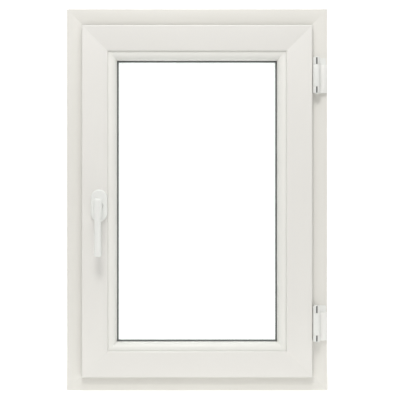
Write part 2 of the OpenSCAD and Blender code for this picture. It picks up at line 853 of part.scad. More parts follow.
module handle_rosette_base()
    color(white_lacquer)
        difference() {
            stadium(rosette_w - 2 * cover_shell - 2 * seat, rosette_h - 2 * cover_shell - 2 * seat,
                sash_front - base_t, sash_front, axis_x, handle_z);
            rod_y(neck_r + neck_play, sash_front - base_t - over, sash_front + over, axis_x,
                handle_z);
            for (s = [-1, 1])
                translate([axis_x, sash_front - base_t, handle_z + s * screw_pitch / 2])
                    rotate([-90, 0, 0]) {
                        screw_cut(screw_r);
                        cylinder(r = screw_r + screw_play, h = rosette_t);
                    }
        }

module handle_rosette_cover()
    color(white_lacquer)
        difference() {
            stadium(rosette_w, rosette_h, sash_front - rosette_t, sash_front - cover_lift, axis_x,
                handle_z);
            stadium(rosette_w - 2 * cover_shell, rosette_h - 2 * cover_shell,
                sash_front - rosette_t + 2, sash_front + over, axis_x, handle_z);
            rod_y(neck_r + neck_play, sash_front - 2 * rosette_t, sash_front, axis_x, handle_z);
        }

module handle_screws()
    color(zinc)
        for (s = [-1, 1])
            translate([axis_x, sash_front - base_t, handle_z + s * screw_pitch / 2])
                rotate([-90, 0, 0]) screw(screw_r, sash_steel[0] - sash_front + base_t + screw_bite);

module handle_retaining_ring()
    color(zinc)
        difference() {
            rod_y(neck_r + 2.2, ring_y - ring_t, ring_y, axis_x, handle_z);
            rod_y(ring_seat_r, sash_front - rosette_t, sash_front, axis_x, handle_z);
        }

// An oval slice of the grip at a distance below the axis
module grip_slice(below, w)
    translate([axis_x, grip_y, handle_z - below])
        scale([w / grip_t, 1, 1]) cylinder(r = grip_t / 2, h = 0.5, center = true, $fn = 32);

module handle_lever()
    color(white_lacquer)
        difference() {
            union() {
                rod_y(neck_r, grip_y, sash_front - 0.4, axis_x, handle_z);
                hull() {
                    translate([axis_x, grip_y + 1, handle_z + lever_head - head_r])
                        sphere(r = head_r, $fn = 32);
                    translate([axis_x, grip_y + 3, handle_z]) sphere(r = head_r, $fn = 32);
                    grip_slice(blade_top, grip_w);
                }
                hull() {
                    grip_slice(blade_top, grip_w);
                    grip_slice(blade_low, grip_w);
                }
                hull() {
                    grip_slice(blade_low, grip_w);
                    grip_slice(lever_l - 5, grip_w + 1);
                    translate([axis_x, grip_y, handle_z + 3 - lever_l])
                        scale([1.5, 1, 0.6]) sphere(r = 5, $fn = 32);
                }
            }
            difference() {
                rod_y(neck_r + over, ring_y - ring_t, ring_y, axis_x, handle_z);
                rod_y(ring_seat_r, sash_front - rosette_t, sash_front, axis_x, handle_z);
            }
            square_bar(spindle_w + 2 * spindle_play, spindle_seat, sash_front + over);
        }

module handle_spindle()
    color(zinc) square_bar(spindle_w, spindle_seat + over, groove_y + case_w / 2 - 0.4);

// ---------- Hinges ----------

function hinge_level(place) = hinge_levels[place == "upper" ? 1 : 0];

// A knuckle round the pin, from z0 to z1, with its web back to the leaf at y
module knuckle(z, z0, z1, y)
    translate([hinge_x, hinge_y, z]) {
        translate([0, 0, z0]) cylinder(r = barrel_r, h = z1 - z0);
        translate([-knuckle_web / 2, 0, z0]) cube([knuckle_web, y - hinge_y, z1 - z0]);
    }

module sash_leaf(place) {
    z = hinge_level(place);
    half = knuckle_mid / 2;
    color(white_lacquer)
        difference() {
            union() {
                knuckle(z, -half, half, sash_leaf_y + leaf_t);
                translate([sash_rebate_x + seat, sash_leaf_y, z - half])
                    cube([hinge_x - sash_rebate_x, leaf_t, knuckle_mid]);
                translate([sash_rebate_x + seat, sash_leaf_y, z - half])
                    cube([leaf_t, sash_leaf_depth, knuckle_mid]);
            }
            translate([hinge_x, hinge_y, z - half - over])
                cylinder(r = hinge_body_r, h = knuckle_mid + 2 * over);
            for (s = [-1, 1])
                translate([sash_rebate_x + seat + leaf_t, sash_leaf_screw_y, z + s * sash_screw_z])
                    rotate([0, -90, 0]) {
                        screw_cut(pilot_r);
                        cylinder(r = pilot_r + seat, h = 2 * leaf_t);
                    }
        }
}

module frame_leaf(place) {
    z = hinge_level(place);
    color(white_lacquer)
        difference() {
            union() {
                for (span = knuckle_spans) {
                    knuckle(z, span[0], span[1], frame_front);
                    translate([hinge_x - knuckle_web / 2, frame_front - leaf_t, z + span[0]])
                        cube([frame_leaf_end - hinge_x + knuckle_web / 2, leaf_t,
                            span[1] - span[0]]);
                }
                translate([frame_leaf_x, frame_front - leaf_t, z + frame_leaf_z[0]])
                    cube([frame_leaf_end - frame_leaf_x, leaf_t,
                        frame_leaf_z[1] - frame_leaf_z[0]]);
            }
            translate([hinge_x - slot_open / 2, hinge_y - barrel_r - over, z - 2 * knuckle_half])
                cube([slot_open, slot_open + over, 4 * knuckle_half]);
            translate([hinge_x, hinge_y, z - 2 * knuckle_half])
                cylinder(r = pin_r, h = 4 * knuckle_half);
            for (level = frame_screw_levels)
                translate([frame_screw_x, frame_front - leaf_t, z + level])
                    rotate([-90, 0, 0]) {
                        screw_cut(pilot_r);
                        cylinder(r = pilot_r + seat, h = 2 * leaf_t);
                    }
        }
}

module hinge_pin(place) {
    top = knuckle_spans[0][1];
    low = knuckle_spans[1][0];
    color(zinc)
        translate([hinge_x, hinge_y, hinge_level(place)]) {
            translate([0, 0, low - over]) cylinder(r = pin_r, h = top - low + 2 * over);
            for (end = [top, low - pin_head])
                translate([0, 0, end]) cylinder(r = pin_head_r, h = pin_head);
        }
}

module hinge_bushes()
    color([0.85, 0.85, 0.82])
        for (z = hinge_levels, s = [-1, 1])
            translate([hinge_x, hinge_y, z])
                rotate([s < 0 ? 180 : 0, 0, 0])
                    difference() {
                        union() {
                            translate([0, 0, knuckle_mid / 4])
                                cylinder(r = hinge_body_r, h = knuckle_mid / 4);
                            translate([0, 0, knuckle_mid / 2])
                                cylinder(r = barrel_r - 0.5, h = bush_flange_t);
                        }
                        translate([0, 0, knuckle_mid / 4 - over])
                            cylinder(r = pin_r + pin_play, h = knuckle_mid);
                    }

module hinge_cover(place) {
    z = hinge_level(place);
    front = frame_front - cover_t;
    leaf_room = frame_front - leaf_t - cover_gap;
    h = cover_z[1] - cover_z[0];
    color(white_lacquer)
        difference() {
            translate([cover_x, front, z + cover_z[0]])
                cube([frame_w / 2 - cover_x, cover_t - cover_lift, h]);
            translate([cover_x + cover_wall, front + cover_wall, z + cover_z[0] + cover_wall])
                cube([frame_leaf_end + cover_gap - cover_x - cover_wall, cover_t,
                    h - 2 * cover_wall]);
            // the leaf leaves the cover at its top and at its left, and so does the lower arm
            translate([cover_x - over, leaf_room, z + cover_z[0] + cover_wall])
                cube([frame_leaf_end + cover_gap + over - cover_x, cover_t, h]);
            translate([cover_x - over, leaf_room, z + knuckle_spans[1][0] - over])
                cube([frame_leaf_end + cover_gap + over - cover_x, cover_t,
                    cover_z[0] - knuckle_spans[1][0] + cover_wall + 2 * over]);
        }
}

module hinge_sash_screws()
    color(zinc)
        for (z = hinge_levels, s = [-1, 1])
            translate([sash_rebate_x + seat + leaf_t, sash_leaf_screw_y, z + s * sash_screw_z])
                rotate([0, -90, 0]) screw(pilot_r, sash_screw_l);

module hinge_frame_screws()
    color(zinc)
        for (z = hinge_levels, level = frame_screw_levels)
            translate([frame_screw_x, frame_front - leaf_t, z + level])
                rotate([-90, 0, 0]) screw(pilot_r, frame_screw_l);

frame_head();
frame_sill();
frame_jamb_handle();
frame_jamb_hinge();
frame_reinforcements();
frame_gasket();
drainage_caps();
striker_plates();
striker_screws();
sash_top_rail();
sash_bottom_rail();
sash_stile_handle();
sash_stile_hinge();
sash_reinforcements();
sash_gasket();
glazing_gasket_outer();
glazing_gasket_inner();
glazing_bead_top();
glazing_bead_bottom();
glazing_bead_left();
glazing_bead_right();
glass_inner_pane();
glass_outer_pane();
spacer_bar();
edge_sealant();
glazing_packers();
espagnolette_faceplate();
faceplate_screws();
gear_case();
gear_case_rivets();
drive_rod();
locking_cams();
gear_pinion();
handle_lever();
handle_spindle();
handle_retaining_ring();
handle_rosette_base();
handle_rosette_cover();
handle_screws();
sash_leaf("upper");  // upper_hinge_sash_leaf
sash_leaf("lower");  // lower_hinge_sash_leaf
frame_leaf("upper");  // upper_hinge_frame_leaf
frame_leaf("lower");  // lower_hinge_frame_leaf
hinge_cover("upper");  // upper_hinge_cover
hinge_cover("lower");  // lower_hinge_cover
hinge_pin("upper");  // upper_hinge_pin
hinge_pin("lower");  // lower_hinge_pin
hinge_bushes();
hinge_sash_screws();
hinge_frame_screws();
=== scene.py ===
# %% [markdown]
# # A white casement window
# This script dresses a finished CAD model of a side-hung plastic window. The CAD model says where
# every piece is and how it moves. Here each visible piece gets its real outline, with rounded
# edges, seal lips, screw heads and seams, and a finish with some depth to it. We work as the window
# maker does: first the long extruded bars, then the seals and the glass, then the hardware.

# %% Load the frame and read its sizes
import json
import math

import bmesh
import bpy
from mathutils import Matrix, Vector
from mathutils.geometry import tessellate_polygon


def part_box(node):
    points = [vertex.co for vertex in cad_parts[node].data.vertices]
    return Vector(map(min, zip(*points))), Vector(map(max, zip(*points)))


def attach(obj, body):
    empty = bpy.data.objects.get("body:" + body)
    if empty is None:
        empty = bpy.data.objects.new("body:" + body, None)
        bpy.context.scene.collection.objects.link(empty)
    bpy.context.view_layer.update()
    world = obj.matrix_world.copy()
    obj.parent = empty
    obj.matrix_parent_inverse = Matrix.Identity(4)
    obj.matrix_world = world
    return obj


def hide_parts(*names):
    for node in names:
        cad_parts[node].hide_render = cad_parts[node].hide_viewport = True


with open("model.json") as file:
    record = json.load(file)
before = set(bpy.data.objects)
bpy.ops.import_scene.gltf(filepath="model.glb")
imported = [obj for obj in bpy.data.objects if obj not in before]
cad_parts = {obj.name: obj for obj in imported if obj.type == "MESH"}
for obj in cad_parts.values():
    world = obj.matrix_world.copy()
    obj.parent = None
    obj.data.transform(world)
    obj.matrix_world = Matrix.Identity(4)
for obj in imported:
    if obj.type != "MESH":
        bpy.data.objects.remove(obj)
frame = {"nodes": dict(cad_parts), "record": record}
nodes = frame["nodes"]
bpy.context.view_layer.update()
MM = 0.001

# %% [markdown]
# Drawings of windows are in millimetres, so all outlines below are too, and each mesh is scaled to
# metres once, when it is finished. The sizes come from the boxes of the CAD nodes. A bar's outline
# is drawn as (y, u): y goes through the wall, from the room to the outside, and u goes inwards from
# the outer edge of the ring that the bar belongs to. On the sash, u is called v. That way all four
# sides share one outline, which a plain list of corners in space would not allow.

# %% Sizes of the two rings
def box_mm(node):
    """Lowest and highest corner of a CAD node, in millimetres."""
    low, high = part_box(node)
    return low / MM, high / MM


SIDES = "bottom", "top", "left", "right"
SILL, HEAD = box_mm("frame_sill"), box_mm("frame_head")
RAIL, TOP_RAIL = box_mm("sash_bottom_rail"), box_mm("sash_top_rail")
FRAME_RING = (SILL[1].x - SILL[0].x, HEAD[1].z - SILL[0].z, SILL[0].z)
SASH_RING = (RAIL[1].x - RAIL[0].x, TOP_RAIL[1].z - RAIL[0].z, RAIL[0].z)
FRAME_FRONT, FRAME_BACK = SILL[0].y, SILL[1].y
SASH_FRONT, SASH_BACK = RAIL[0].y, RAIL[1].y
U_FLOOR = box_mm("striker_plates")[0].x + FRAME_RING[0] / 2         # floor of the frame's rebate
U_UPSTAND = SILL[1].z - SILL[0].z                                   # top of its outer upstand
UPSTAND_FRONT = box_mm("frame_gasket")[1].y
FLANGE_BACK = box_mm("sash_gasket")[0].y                            # behind the sash's flange
PLATE = box_mm("espagnolette_faceplate")
V_REBATE = PLATE[0].x + SASH_RING[0] / 2                            # the sash's edge behind it
V_GLAZING = box_mm("glazing_packers")[0].z - SASH_RING[2]           # floor of the glazing rebate
V_SIGHT = RAIL[1].z - RAIL[0].z                                     # where the glass is in sight
BEAD_FRONT, BEAD_BACK = (corner.y for corner in box_mm("glazing_bead_bottom"))
LIP_BACK = box_mm("glazing_gasket_outer")[1].y
print("frame ring", FRAME_RING, "sash ring", SASH_RING, "sight edge", round(V_SIGHT, 2))

# %% [markdown]
# ## Camera and light
# The window is seen straight on from about two and a half metres, by a long lens. The camera stays
# level, so upright edges stay upright, and a small lens shift does the rest of the framing. The
# window stands on a light table, the glowing white table that product photographers use: it
# washes out the shadow at the foot of the window and lights it a little from below. Lamps alone
# would leave hard shadows on a white piece, so a white room does most of the lighting, brightest
# behind the window. One soft lamp, high in front, draws the shadows under the sash, the handle and
# the hinges, and another overhead makes upper edges lighter than lower ones.

# %% Camera
CAMERA_AWAY = 2.6
CAMERA_X, CAMERA_Z = -0.02, 0.43
WINDOW_SHARE = 0.953            # of the picture's height that the window takes
SENSOR = 36.0                   # millimetres
window_h = FRAME_RING[1] * MM
AIM_X, AIM_Z = 0.0065, window_h / 2 - 0.0005        # the middle of the picture
camera = bpy.data.objects.new("camera", bpy.data.cameras.new("camera"))
bpy.context.scene.collection.objects.link(camera)
bpy.context.scene.camera = camera
seen_height = window_h / WINDOW_SHARE
camera.data.sensor_width = SENSOR
camera.data.lens = SENSOR * CAMERA_AWAY / seen_height
camera.location = (CAMERA_X, FRAME_FRONT * MM - CAMERA_AWAY, CAMERA_Z)
camera.rotation_euler = (math.radians(90), 0, 0)
camera.data.shift_x = (AIM_X - CAMERA_X) / seen_height
camera.data.shift_y = (AIM_Z - CAMERA_Z) / seen_height
print("lens", round(camera.data.lens, 1), "shift", round(camera.data.shift_y, 4))

# %% [markdown]
# ## One way of wiring nodes
# The room light and every finish below are made of nodes. Wiring them by hand makes long code, so a
# few small classes help. A `Wire` is a socket that can be used in a sum: each operator adds a Math
# node, and also works with a plain number on its left. A `Board` is a node tree, and its `node`
# method adds any other node. Colours are mixed by a Mix node, because a Math node would turn them
# grey.

# %% Wire and Board
class Wire:
    """A socket that arithmetic can be written on."""

    def __init__(self, board, socket):
        self.board = board
        self.socket = socket

    def maths(self, operation, first, second):
        return self.board.node("Math", {"operation": operation}, {0: first, 1: second})

    def __add__(self, other):
        return self.maths("ADD", self, other)

    def __radd__(self, other):
        return self.maths("ADD", other, self)

    def __rsub__(self, other):
        return self.maths("SUBTRACT", other, self)

    def __mul__(self, other):
        return self.maths("MULTIPLY", self, other)

    def __rmul__(self, other):
        return self.maths("MULTIPLY", other, self)


class Board:
    """A node tree under construction."""

    def __init__(self, tree):
        self.tree = tree

    def feed(self, socket, value):
        if isinstance(value, Wire):
            self.tree.links.new(value.socket, socket)
        else:
            socket.default_value = value

    def node(self, kind, settings=None, sockets=None, out=0):
        """Adds a node: its settings first, then the values or links of its sockets."""
        made = self.tree.nodes.new("ShaderNode" + kind)
        for name, value in (settings or {}).items():
            setattr(made, name, value)
        for name, value in (sockets or {}).items():
            self.feed(made.inputs[name], value)
        return Wire(self, made.outputs[out])

    def between(self, value, low, high):
        """0 below low, 1 above high, and smooth in between."""
        sockets = {"Value": value, "From Min": low, "From Max": high}
        return self.node("MapRange", {"interpolation_type": "SMOOTHSTEP"}, sockets)

    def mix(self, share, first, second):
        """The first colour where share is 0, and the second where it is 1."""
        return self.node("Mix", {"data_type": "RGBA"}, {0: share, 6: first, 7: second}, out=2)


print("Wire and Board ready")

# %% Room light and lamps
ROOM_DIM, ROOM_BRIGHT = 0.34, 1.25          # behind the camera, and behind the window
bpy.context.scene.view_settings.view_transform = "Standard"
world = bpy.data.worlds.new("white_room")
world.use_nodes = True
bpy.context.scene.world = world
room = Board(world.node_tree)
direction = room.node("TexCoord", out="Generated")
ahead = room.node("SeparateXYZ", sockets={0: direction}, out="Y")
glow = room.node("MapRange", sockets={"Value": ahead, "From Min": 0.2, "From Max": 0.9,
                                      "To Min": ROOM_DIM, "To Max": ROOM_BRIGHT})
sky = room.tree.nodes["Background"]
room.feed(sky.inputs["Strength"], glow)
room.feed(sky.inputs["Color"], (1.0, 0.99, 0.97, 1))


def soft_lamp(name, place, target, size, watts, colour):
    """A square lamp that faces a point."""
    lamp = bpy.data.objects.new(name, bpy.data.lights.new(name, "AREA"))
    bpy.context.scene.collection.objects.link(lamp)
    lamp.data.size = size
    lamp.data.energy = watts
    lamp.data.color = colour
    lamp.location = place
    lamp.rotation_euler = (Vector(target) - Vector(place)).to_track_quat("-Z", "Y").to_euler()


middle = (0, 0, window_h / 2)
soft_lamp("key_lamp", (-0.25, -2.4, 2.9), middle, 0.9, 41, (1.0, 0.985, 0.955))
soft_lamp("top_lamp", (0.1, -0.9, 2.6), middle, 1.6, 17, (1.0, 1.0, 1.0))
print("room light from", ROOM_DIM, "to", ROOM_BRIGHT)

# %% [markdown]
# ## Finishes
# A `Finish` is the board of one material, with the patterns that all finishes here share: soft
# noise, dust and painted shade in the corners, and wear on the edges. Pictures of plastic or steel
# would need each piece unwrapped. Noise that is measured in metres on the piece needs no unwrapping,
# and its detail has the same real size on every piece.

# %% Finish
class Finish(Board):
    """A material under construction."""

    def __init__(self, name, plain=None):
        self.material = bpy.data.materials.new(name)
        self.material.use_nodes = True
        super().__init__(self.material.node_tree)
        self.shader = self.tree.nodes["Principled BSDF"]
        for socket, value in (plain or {}).items():
            self.feed(self.shader.inputs[socket], value)

    def where(self, stretch=(1, 1, 1)):
        """A point's place on the piece in metres, with each axis scaled."""
        place = self.node("TexCoord", out="Object")
        return self.node("VectorMath", {"operation": "MULTIPLY"}, {0: place, 1: stretch})

    def noise(self, scale, detail=2.0, stretch=(1, 1, 1)):
        """Soft noise from 0 to 1, with about this many spots in a metre."""
        sockets = {"Vector": self.where(stretch), "Scale": scale, "Detail": detail}
        return self.node("TexNoise", {}, sockets)

    def corners(self, reach):
        """1 deep in corners narrower than reach, 0 on open faces: where dust and painted shade go."""
        open_sky = self.node("AmbientOcclusion", {"only_local": True, "samples": 4},
                             {"Distance": reach}, out="AO")
        return 1 - open_sky

    def edges(self):
        """1 on sharp outer edges, where handling rubs a finish, and 0 elsewhere."""
        return self.between(self.node("NewGeometry", out="Pointiness"), 0.53, 0.59)

    def done(self, colour, roughness, height, depth):
        """Feeds the shader. depth is the real depth of the relief, in metres."""
        bump = self.node("Bump", {}, {"Height": height, "Distance": depth})
        for socket, value in (("Base Color", colour), ("Roughness", roughness), ("Normal", bump)):
            self.feed(self.shader.inputs[socket], value)
        return self.material


def tone(colour, share):
    """A colour made lighter or darker, with its alpha kept at 1."""
    return tuple(channel * share for channel in colour[:3]) + (1,)


print("finish helpers ready")

# %% [markdown]
# ### White plastic for the bars
# Window profiles are extruded through a steel die. The die leaves very fine lines along the bar, and
# the surface has a satin gloss that drifts a little from place to place. The white is warm. A thin
# grey sits in the corners, partly dust and partly painted shade. The lines could be a wave pattern,
# but that is too regular, so they are noise stretched along the bar. There are two versions of the
# finish, one for bars that lie across and one for bars that stand.

# %% Plastic of the bars
LIES = {"bottom": "across", "top": "across", "left": "upright", "right": "upright"}
ALONG = {"across": (0.01, 1, 1), "upright": (1, 1, 0.01)}
# The grey of dust and painted shade in the corners.
SHADE_AND_DUST_GREY = (0.60, 0.585, 0.54, 1)


def extruded_plastic(name, colour, way):
    f = Finish(name, {"Specular IOR Level": 0.45})
    die_lines = f.noise(1400, 3, ALONG[way])
    drift = f.noise(7, 2)
    grain = f.noise(2600, 1)
    # Dust and painted shade: an occlusion mask greys the corners and roughens them.
    dust_and_shade = f.corners(0.008) * (0.25 + 0.5 * drift)
    clean = f.mix(drift, tone(colour, 0.985), tone(colour, 1.01))
    tinted = f.mix(dust_and_shade * 0.35, clean, SHADE_AND_DUST_GREY)
    rough = 0.27 + 0.09 * die_lines + 0.07 * drift + 0.2 * dust_and_shade
    return f.done(tinted, rough, 0.75 * die_lines + 0.25 * grain, 0.00002)


# The frame's white is a little darker than the sash's, as painted shade for the frame, which sits
# back behind the sash. It is also a little yellower.
FRAME_WHITE_SHADED = (0.818, 0.808, 0.770)
SASH_WHITE = (0.828, 0.818, 0.792)
BEAD_WHITE = (0.862, 0.862, 0.830)
plastic = {
    (part, way): extruded_plastic(f"{part}_plastic_{way}", colour, way)
    for part, colour in (("frame", FRAME_WHITE_SHADED), ("sash", SASH_WHITE), ("bead", BEAD_WHITE))
    for way in ALONG
}
print(len(plastic), "plastics")

# %% [markdown]
# ### Paint, mouldings and seals
# The handle and the hinges are cast or pressed metal under white powder paint, which flows out into
# a faint orange peel. Small covers are injection moulded, with a fine spark-eroded grain. The seals
# are soft grey rubber, matt and clouded by a pale bloom. Each of these is one function, because
# the same process gives the same surface in any colour.

# %% Paint, mouldings and rubber
def powder_paint(name, colour):
    f = Finish(name, {"Coat Weight": 0.12, "Coat Roughness": 0.25})
    peel = f.noise(620, 1.5)
    fine = f.noise(3000, 1)
    drift = f.noise(14, 2)
    worn = f.edges() * f.between(f.noise(160, 3), 0.45, 0.7)
    # Dust and painted shade: the corners are darkened towards a warm grey.
    dust_and_shade = f.corners(0.004)
    clean = f.mix(drift, tone(colour, 0.985), tone(colour, 1.01))
    rubbed = f.mix(worn * 0.25, clean, (0.74, 0.74, 0.73, 1))
    tinted = f.mix(dust_and_shade * 0.25, rubbed, (0.60, 0.59, 0.56, 1))
    rough = 0.26 + 0.08 * drift + 0.06 * fine + 0.15 * worn
    return f.done(tinted, rough, 0.8 * peel + 0.2 * fine, 0.00003)


def moulded(name, colour, roughness):
    f = Finish(name)
    spark = f.noise(3400, 2)
    drift = f.noise(22, 2)
    # Dust and painted shade: the corners are darkened towards a deeper tone of the colour.
    dust_and_shade = f.corners(0.004)
    clean = f.mix(drift, tone(colour, 0.98), tone(colour, 1.01))
    tinted = f.mix(dust_and_shade * 0.3, clean, tone(colour, 0.72))
    return f.done(tinted, roughness + 0.1 * spark + 0.05 * drift, spark, 0.00003)


def rubber(name, colour):
    f = Finish(name, {"Specular IOR Level": 0.35, "Sheen Weight": 0.15})
    skin = f.noise(1800, 3)
    bloom = f.between(f.noise(60, 4), 0.45, 0.75)
    tinted = f.mix(bloom * 0.35, tone(colour, 0.9), tone(colour, 1.45))
    return f.done(tinted, 0.62 + 0.14 * skin + 0.08 * bloom, skin, 0.00004)


paint = powder_paint("white_powder_paint", (0.86, 0.872, 0.855))
moulding = moulded("white_moulding", (0.90, 0.905, 0.885), 0.42)
bush_plastic = moulded("bush_plastic", (0.80, 0.79, 0.74), 0.35)
packer_plastic = moulded("packer_plastic", (0.06, 0.20, 0.52), 0.38)
seal_rubber = rubber("seal_rubber", (0.14, 0.148, 0.147))
sealant = rubber("black_sealant", (0.022, 0.022, 0.024))
print("paint, mouldings and rubber ready")

# %% [markdown]
# ### Metals
# Hidden steel is galvanised, which shows as a mosaic of zinc crystals. Lock parts and screws are
# zinc plated, smoother and slightly blue. Turned parts carry fine rings, the rack and pinion are
# sintered and therefore dull and pitted, and the spacer in the glass is bright aluminium. The hinge
# pins are a dark grey, a painted shade for the open seams of the knuckles, and their heads are
# painted white. All metals share one function for stains, bright edges and painted shade in the
# corners, and only the relief is drawn by its own.

# %% Metals
HOLE_PITCH, ROW_PITCH = 0.004, 0.005        # of the pinholes in the spacer, in metres


def metal(name, colour, roughness, draw_relief, depth):
    """A metal with a relief, which a function draws on the finish."""
    f = Finish(name, {"Metallic": 1.0})
    relief = draw_relief(f)
    drift = f.noise(30, 3)
    worn = f.edges()
    stained = f.between(f.noise(90, 4), 0.5, 0.8)
    clean = f.mix(drift, tone(colour, 0.92), tone(colour, 1.04))
    bright = f.mix(worn * 0.5, clean, (0.86, 0.86, 0.86, 1))
    # Real stains and painted shade in the corners darken the metal.
    tinted = f.mix(stained * 0.18 + f.corners(0.002) * 0.3, bright, tone(colour, 0.55))
    return f.done(tinted, roughness + 0.12 * relief + 0.12 * stained, relief, depth)


def crystals(f):
    cells = f.node("TexVoronoi", {}, {"Vector": f.where(), "Scale": 190}, out="Color")
    grey = f.node("SeparateColor", {}, {0: cells})
    return 0.7 * grey + 0.3 * f.noise(1500, 2)


def rolled(f):
    return f.noise(1500, 2, (1, 1, 0.03))


def turned(f):
    return f.noise(2400, 1, (1, 0.04, 0.04))


def sintered(f):
    return f.noise(2600, 4)


def perforated(f):
    """Two rows of pinholes, through which the desiccant in the spacer dries the air."""
    x, y, z = (f.node("SeparateXYZ", {}, {0: f.where()}, out=axis) for axis in "XYZ")
    along = f.node("Math", {"operation": "SINE"}, {0: (x + z) * (2 * math.pi / HOLE_PITCH)})
    across = f.node("Math", {"operation": "SINE"}, {0: y * (2 * math.pi / ROW_PITCH)})
    return 1 - f.between(along * across, 0.55, 0.75)


galvanised = metal("galvanised_steel", (0.58, 0.59, 0.60), 0.36, crystals, 0.00002)
zinc = metal("zinc_plated_steel", (0.72, 0.735, 0.755), 0.24, rolled, 0.00001)
screw_steel = metal("screw_steel", (0.68, 0.685, 0.70), 0.26, turned, 0.00001)
cam_steel = metal("cam_steel", (0.62, 0.62, 0.64), 0.20, turned, 0.000015)
gear_steel = metal("sintered_steel", (0.40, 0.40, 0.41), 0.45, sintered, 0.00004)
# The pin's dark grey paints the shade inside the knuckles' open seams.
seam_shade_pin_steel = metal("seam_shade_pin_steel", (0.15, 0.15, 0.155), 0.30, rolled, 0.000008)
spacer_metal = metal("spacer_aluminium", (0.60, 0.61, 0.62), 0.22, perforated, 0.0003)
print("metals ready")

# %% [markdown]
# ### Float glass
# A pane is almost clear, with a faint green that shows at its edges. It could be a mere sheen on a
# see-through sheet, but real transmission also bends the view through the thick edges. Only its
# roughness changes, by a thin film of dust. Real lamps shine through it, so the panes cast no shadow.

# %% Glass
f = Finish("float_glass", {"Transmission Weight": 1.0, "IOR": 1.45,
                           "Base Color": (0.965, 0.99, 0.98, 1)})
dust_film = f.between(f.noise(18, 4), 0.55, 0.85)
f.feed(f.shader.inputs["Roughness"], 0.015 * dust_film)
glass = f.material
print("glass ready")

# %% [markdown]
# ## Making meshes
# Nearly everything in a window has a constant outline along a straight line or round an axis, so
# three ways of making a mesh do most of the work: a wall of faces between loops of points, a flat
# cap over a loop that may have holes, and a boolean cut for holes and pockets. An outline is a list
# of corners, each with its own radius, because no plastic or metal edge is really sharp.

# %% Outlines
def rounded(corners):
    """A closed outline from corners given as (a, b, radius)."""
    outline = []
    for i, (a, b, radius) in enumerate(corners):
        here = Vector((a, b))
        if radius == 0:
            outline.append(here)
            continue
        before = (Vector(corners[i - 1][:2]) - here).normalized()
        after = (Vector(corners[(i + 1) % len(corners)][:2]) - here).normalized()
        half = before.angle(after) / 2
        centre = here + (before + after).normalized() * radius / math.sin(half)
        start = here + before * radius / math.tan(half) - centre
        end = here + after * radius / math.tan(half) - centre
        steps = 2 + min(10, int(radius))
        outline += [centre + radius * start.slerp(end, step / steps).normalized()
                    for step in range(steps + 1)]
    return outline


def oblong(a0, a1, b0, b1, radius):
    return rounded([(a0, b0, radius), (a1, b0, radius), (a1, b1, radius), (a0, b1, radius)])


def inset(outline, depth):
    """The outline moved inwards by depth, square to its edges."""
    closed = zip(outline, outline[1:] + outline[:1])
    turn = 1 if sum(p.cross(q) for p, q in closed) > 0 else -1
    moved = []
    for i, here in enumerate(outline):
        before = (here - outline[i - 1]).normalized()
        after = (outline[(i + 1) % len(outline)] - here).normalized()
        inwards = turn * (before + after).normalized().orthogonal()
        moved.append(here + inwards * depth / max(0.4, inwards.dot(turn * before.orthogonal())))
    return moved


print(len(rounded([(0, 0, 1), (9, 0, 3), (9, 9, 0), (0, 9, 0.5)])), "points in a test outline")

# %% Shells
class Shell:
    """A closed surface under construction, in millimetres."""

    def __init__(self):
        self.bm = bmesh.new()

    def loop(self, points):
        return [self.bm.verts.new(point) for point in points]

    def wall(self, loops):
        """Faces between each loop and the next. All loops have equally many points."""
        for low, high in zip(loops, loops[1:]):
            for i in range(len(low)):
                self.bm.faces.new((low[i - 1], low[i], high[i], high[i - 1]))

    def cap(self, *loops):
        """Fills the first loop, and leaves the others open as holes in it."""
        flat = [vertex for loop in loops for vertex in loop]
        for corners in tessellate_polygon([[vertex.co for vertex in loop] for loop in loops]):
            self.bm.faces.new([flat[i] for i in corners])

    def tube(self, outlines, place, levels, dips=None):
        """Extrudes an outline with holes through levels, and caps both ends."""
        walls = []
        for number, outline in enumerate(outlines):
            dips_here = dips if dips and number == 0 else [0] * len(levels)
            loops = [
                self.loop(place(level, a, b) for a, b in inset(outline, dip))
                for level, dip in zip(levels, dips_here)
            ]
            self.wall(loops)
            walls.append(loops)
        self.cap(*[loops[0] for loops in walls])
        self.cap(*[loops[-1] for loops in walls])

    def mesh(self, name):
        bmesh.ops.recalc_face_normals(self.bm, faces=self.bm.faces)
        bmesh.ops.transform(self.bm, matrix=Matrix.Scale(MM, 4), verts=self.bm.verts)
        mesh = bpy.data.meshes.new(name)
        self.bm.to_mesh(mesh)
        self.bm.free()
        piece = bpy.data.objects.new(name, mesh)
        bpy.context.scene.collection.objects.link(piece)
        return piece


print("shells ready")

# %% Cutting and finishing a piece
def evaluated(piece):
    """The mesh of a piece after its modifiers."""
    graph = bpy.context.evaluated_depsgraph_get()
    return bpy.data.meshes.new_from_object(piece.evaluated_get(graph))


def carve(piece, tool, operation="DIFFERENCE"):
    """Cuts the tool out of a piece, or joins it on, and throws the tool away."""
    change = piece.modifiers.new("carve", "BOOLEAN")
    change.operation = operation
    change.solver = "EXACT"
    change.object = tool
    piece.data = evaluated(piece)
    piece.modifiers.clear()
    bpy.data.objects.remove(tool)


CREASE = math.radians(32)           # faces that meet at more than this keep a sharp edge


def finished(piece, body, replaced, material):
    """Gives a piece its finish and its body, and hides the CAD nodes it stands for."""
    piece.data.shade_smooth()
    piece.data.set_sharp_from_angle(angle=CREASE)
    piece.data.materials.clear()
    piece.data.materials.append(material)
    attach(piece, body)
    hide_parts(*replaced)


print("cutting and finishing ready")

# %% Turned pieces and blocks
def bolt_axis(centre, axis):
    """A placing for turned shapes: a distance along an axis, and two offsets beside it."""
    centre = Vector(centre)
    if axis == "x":
        return lambda along, a, b: centre + Vector((along, a, b))
    if axis == "y":
        return lambda along, a, b: centre + Vector((a, along, b))
    return lambda along, a, b: centre + Vector((a, b, along))


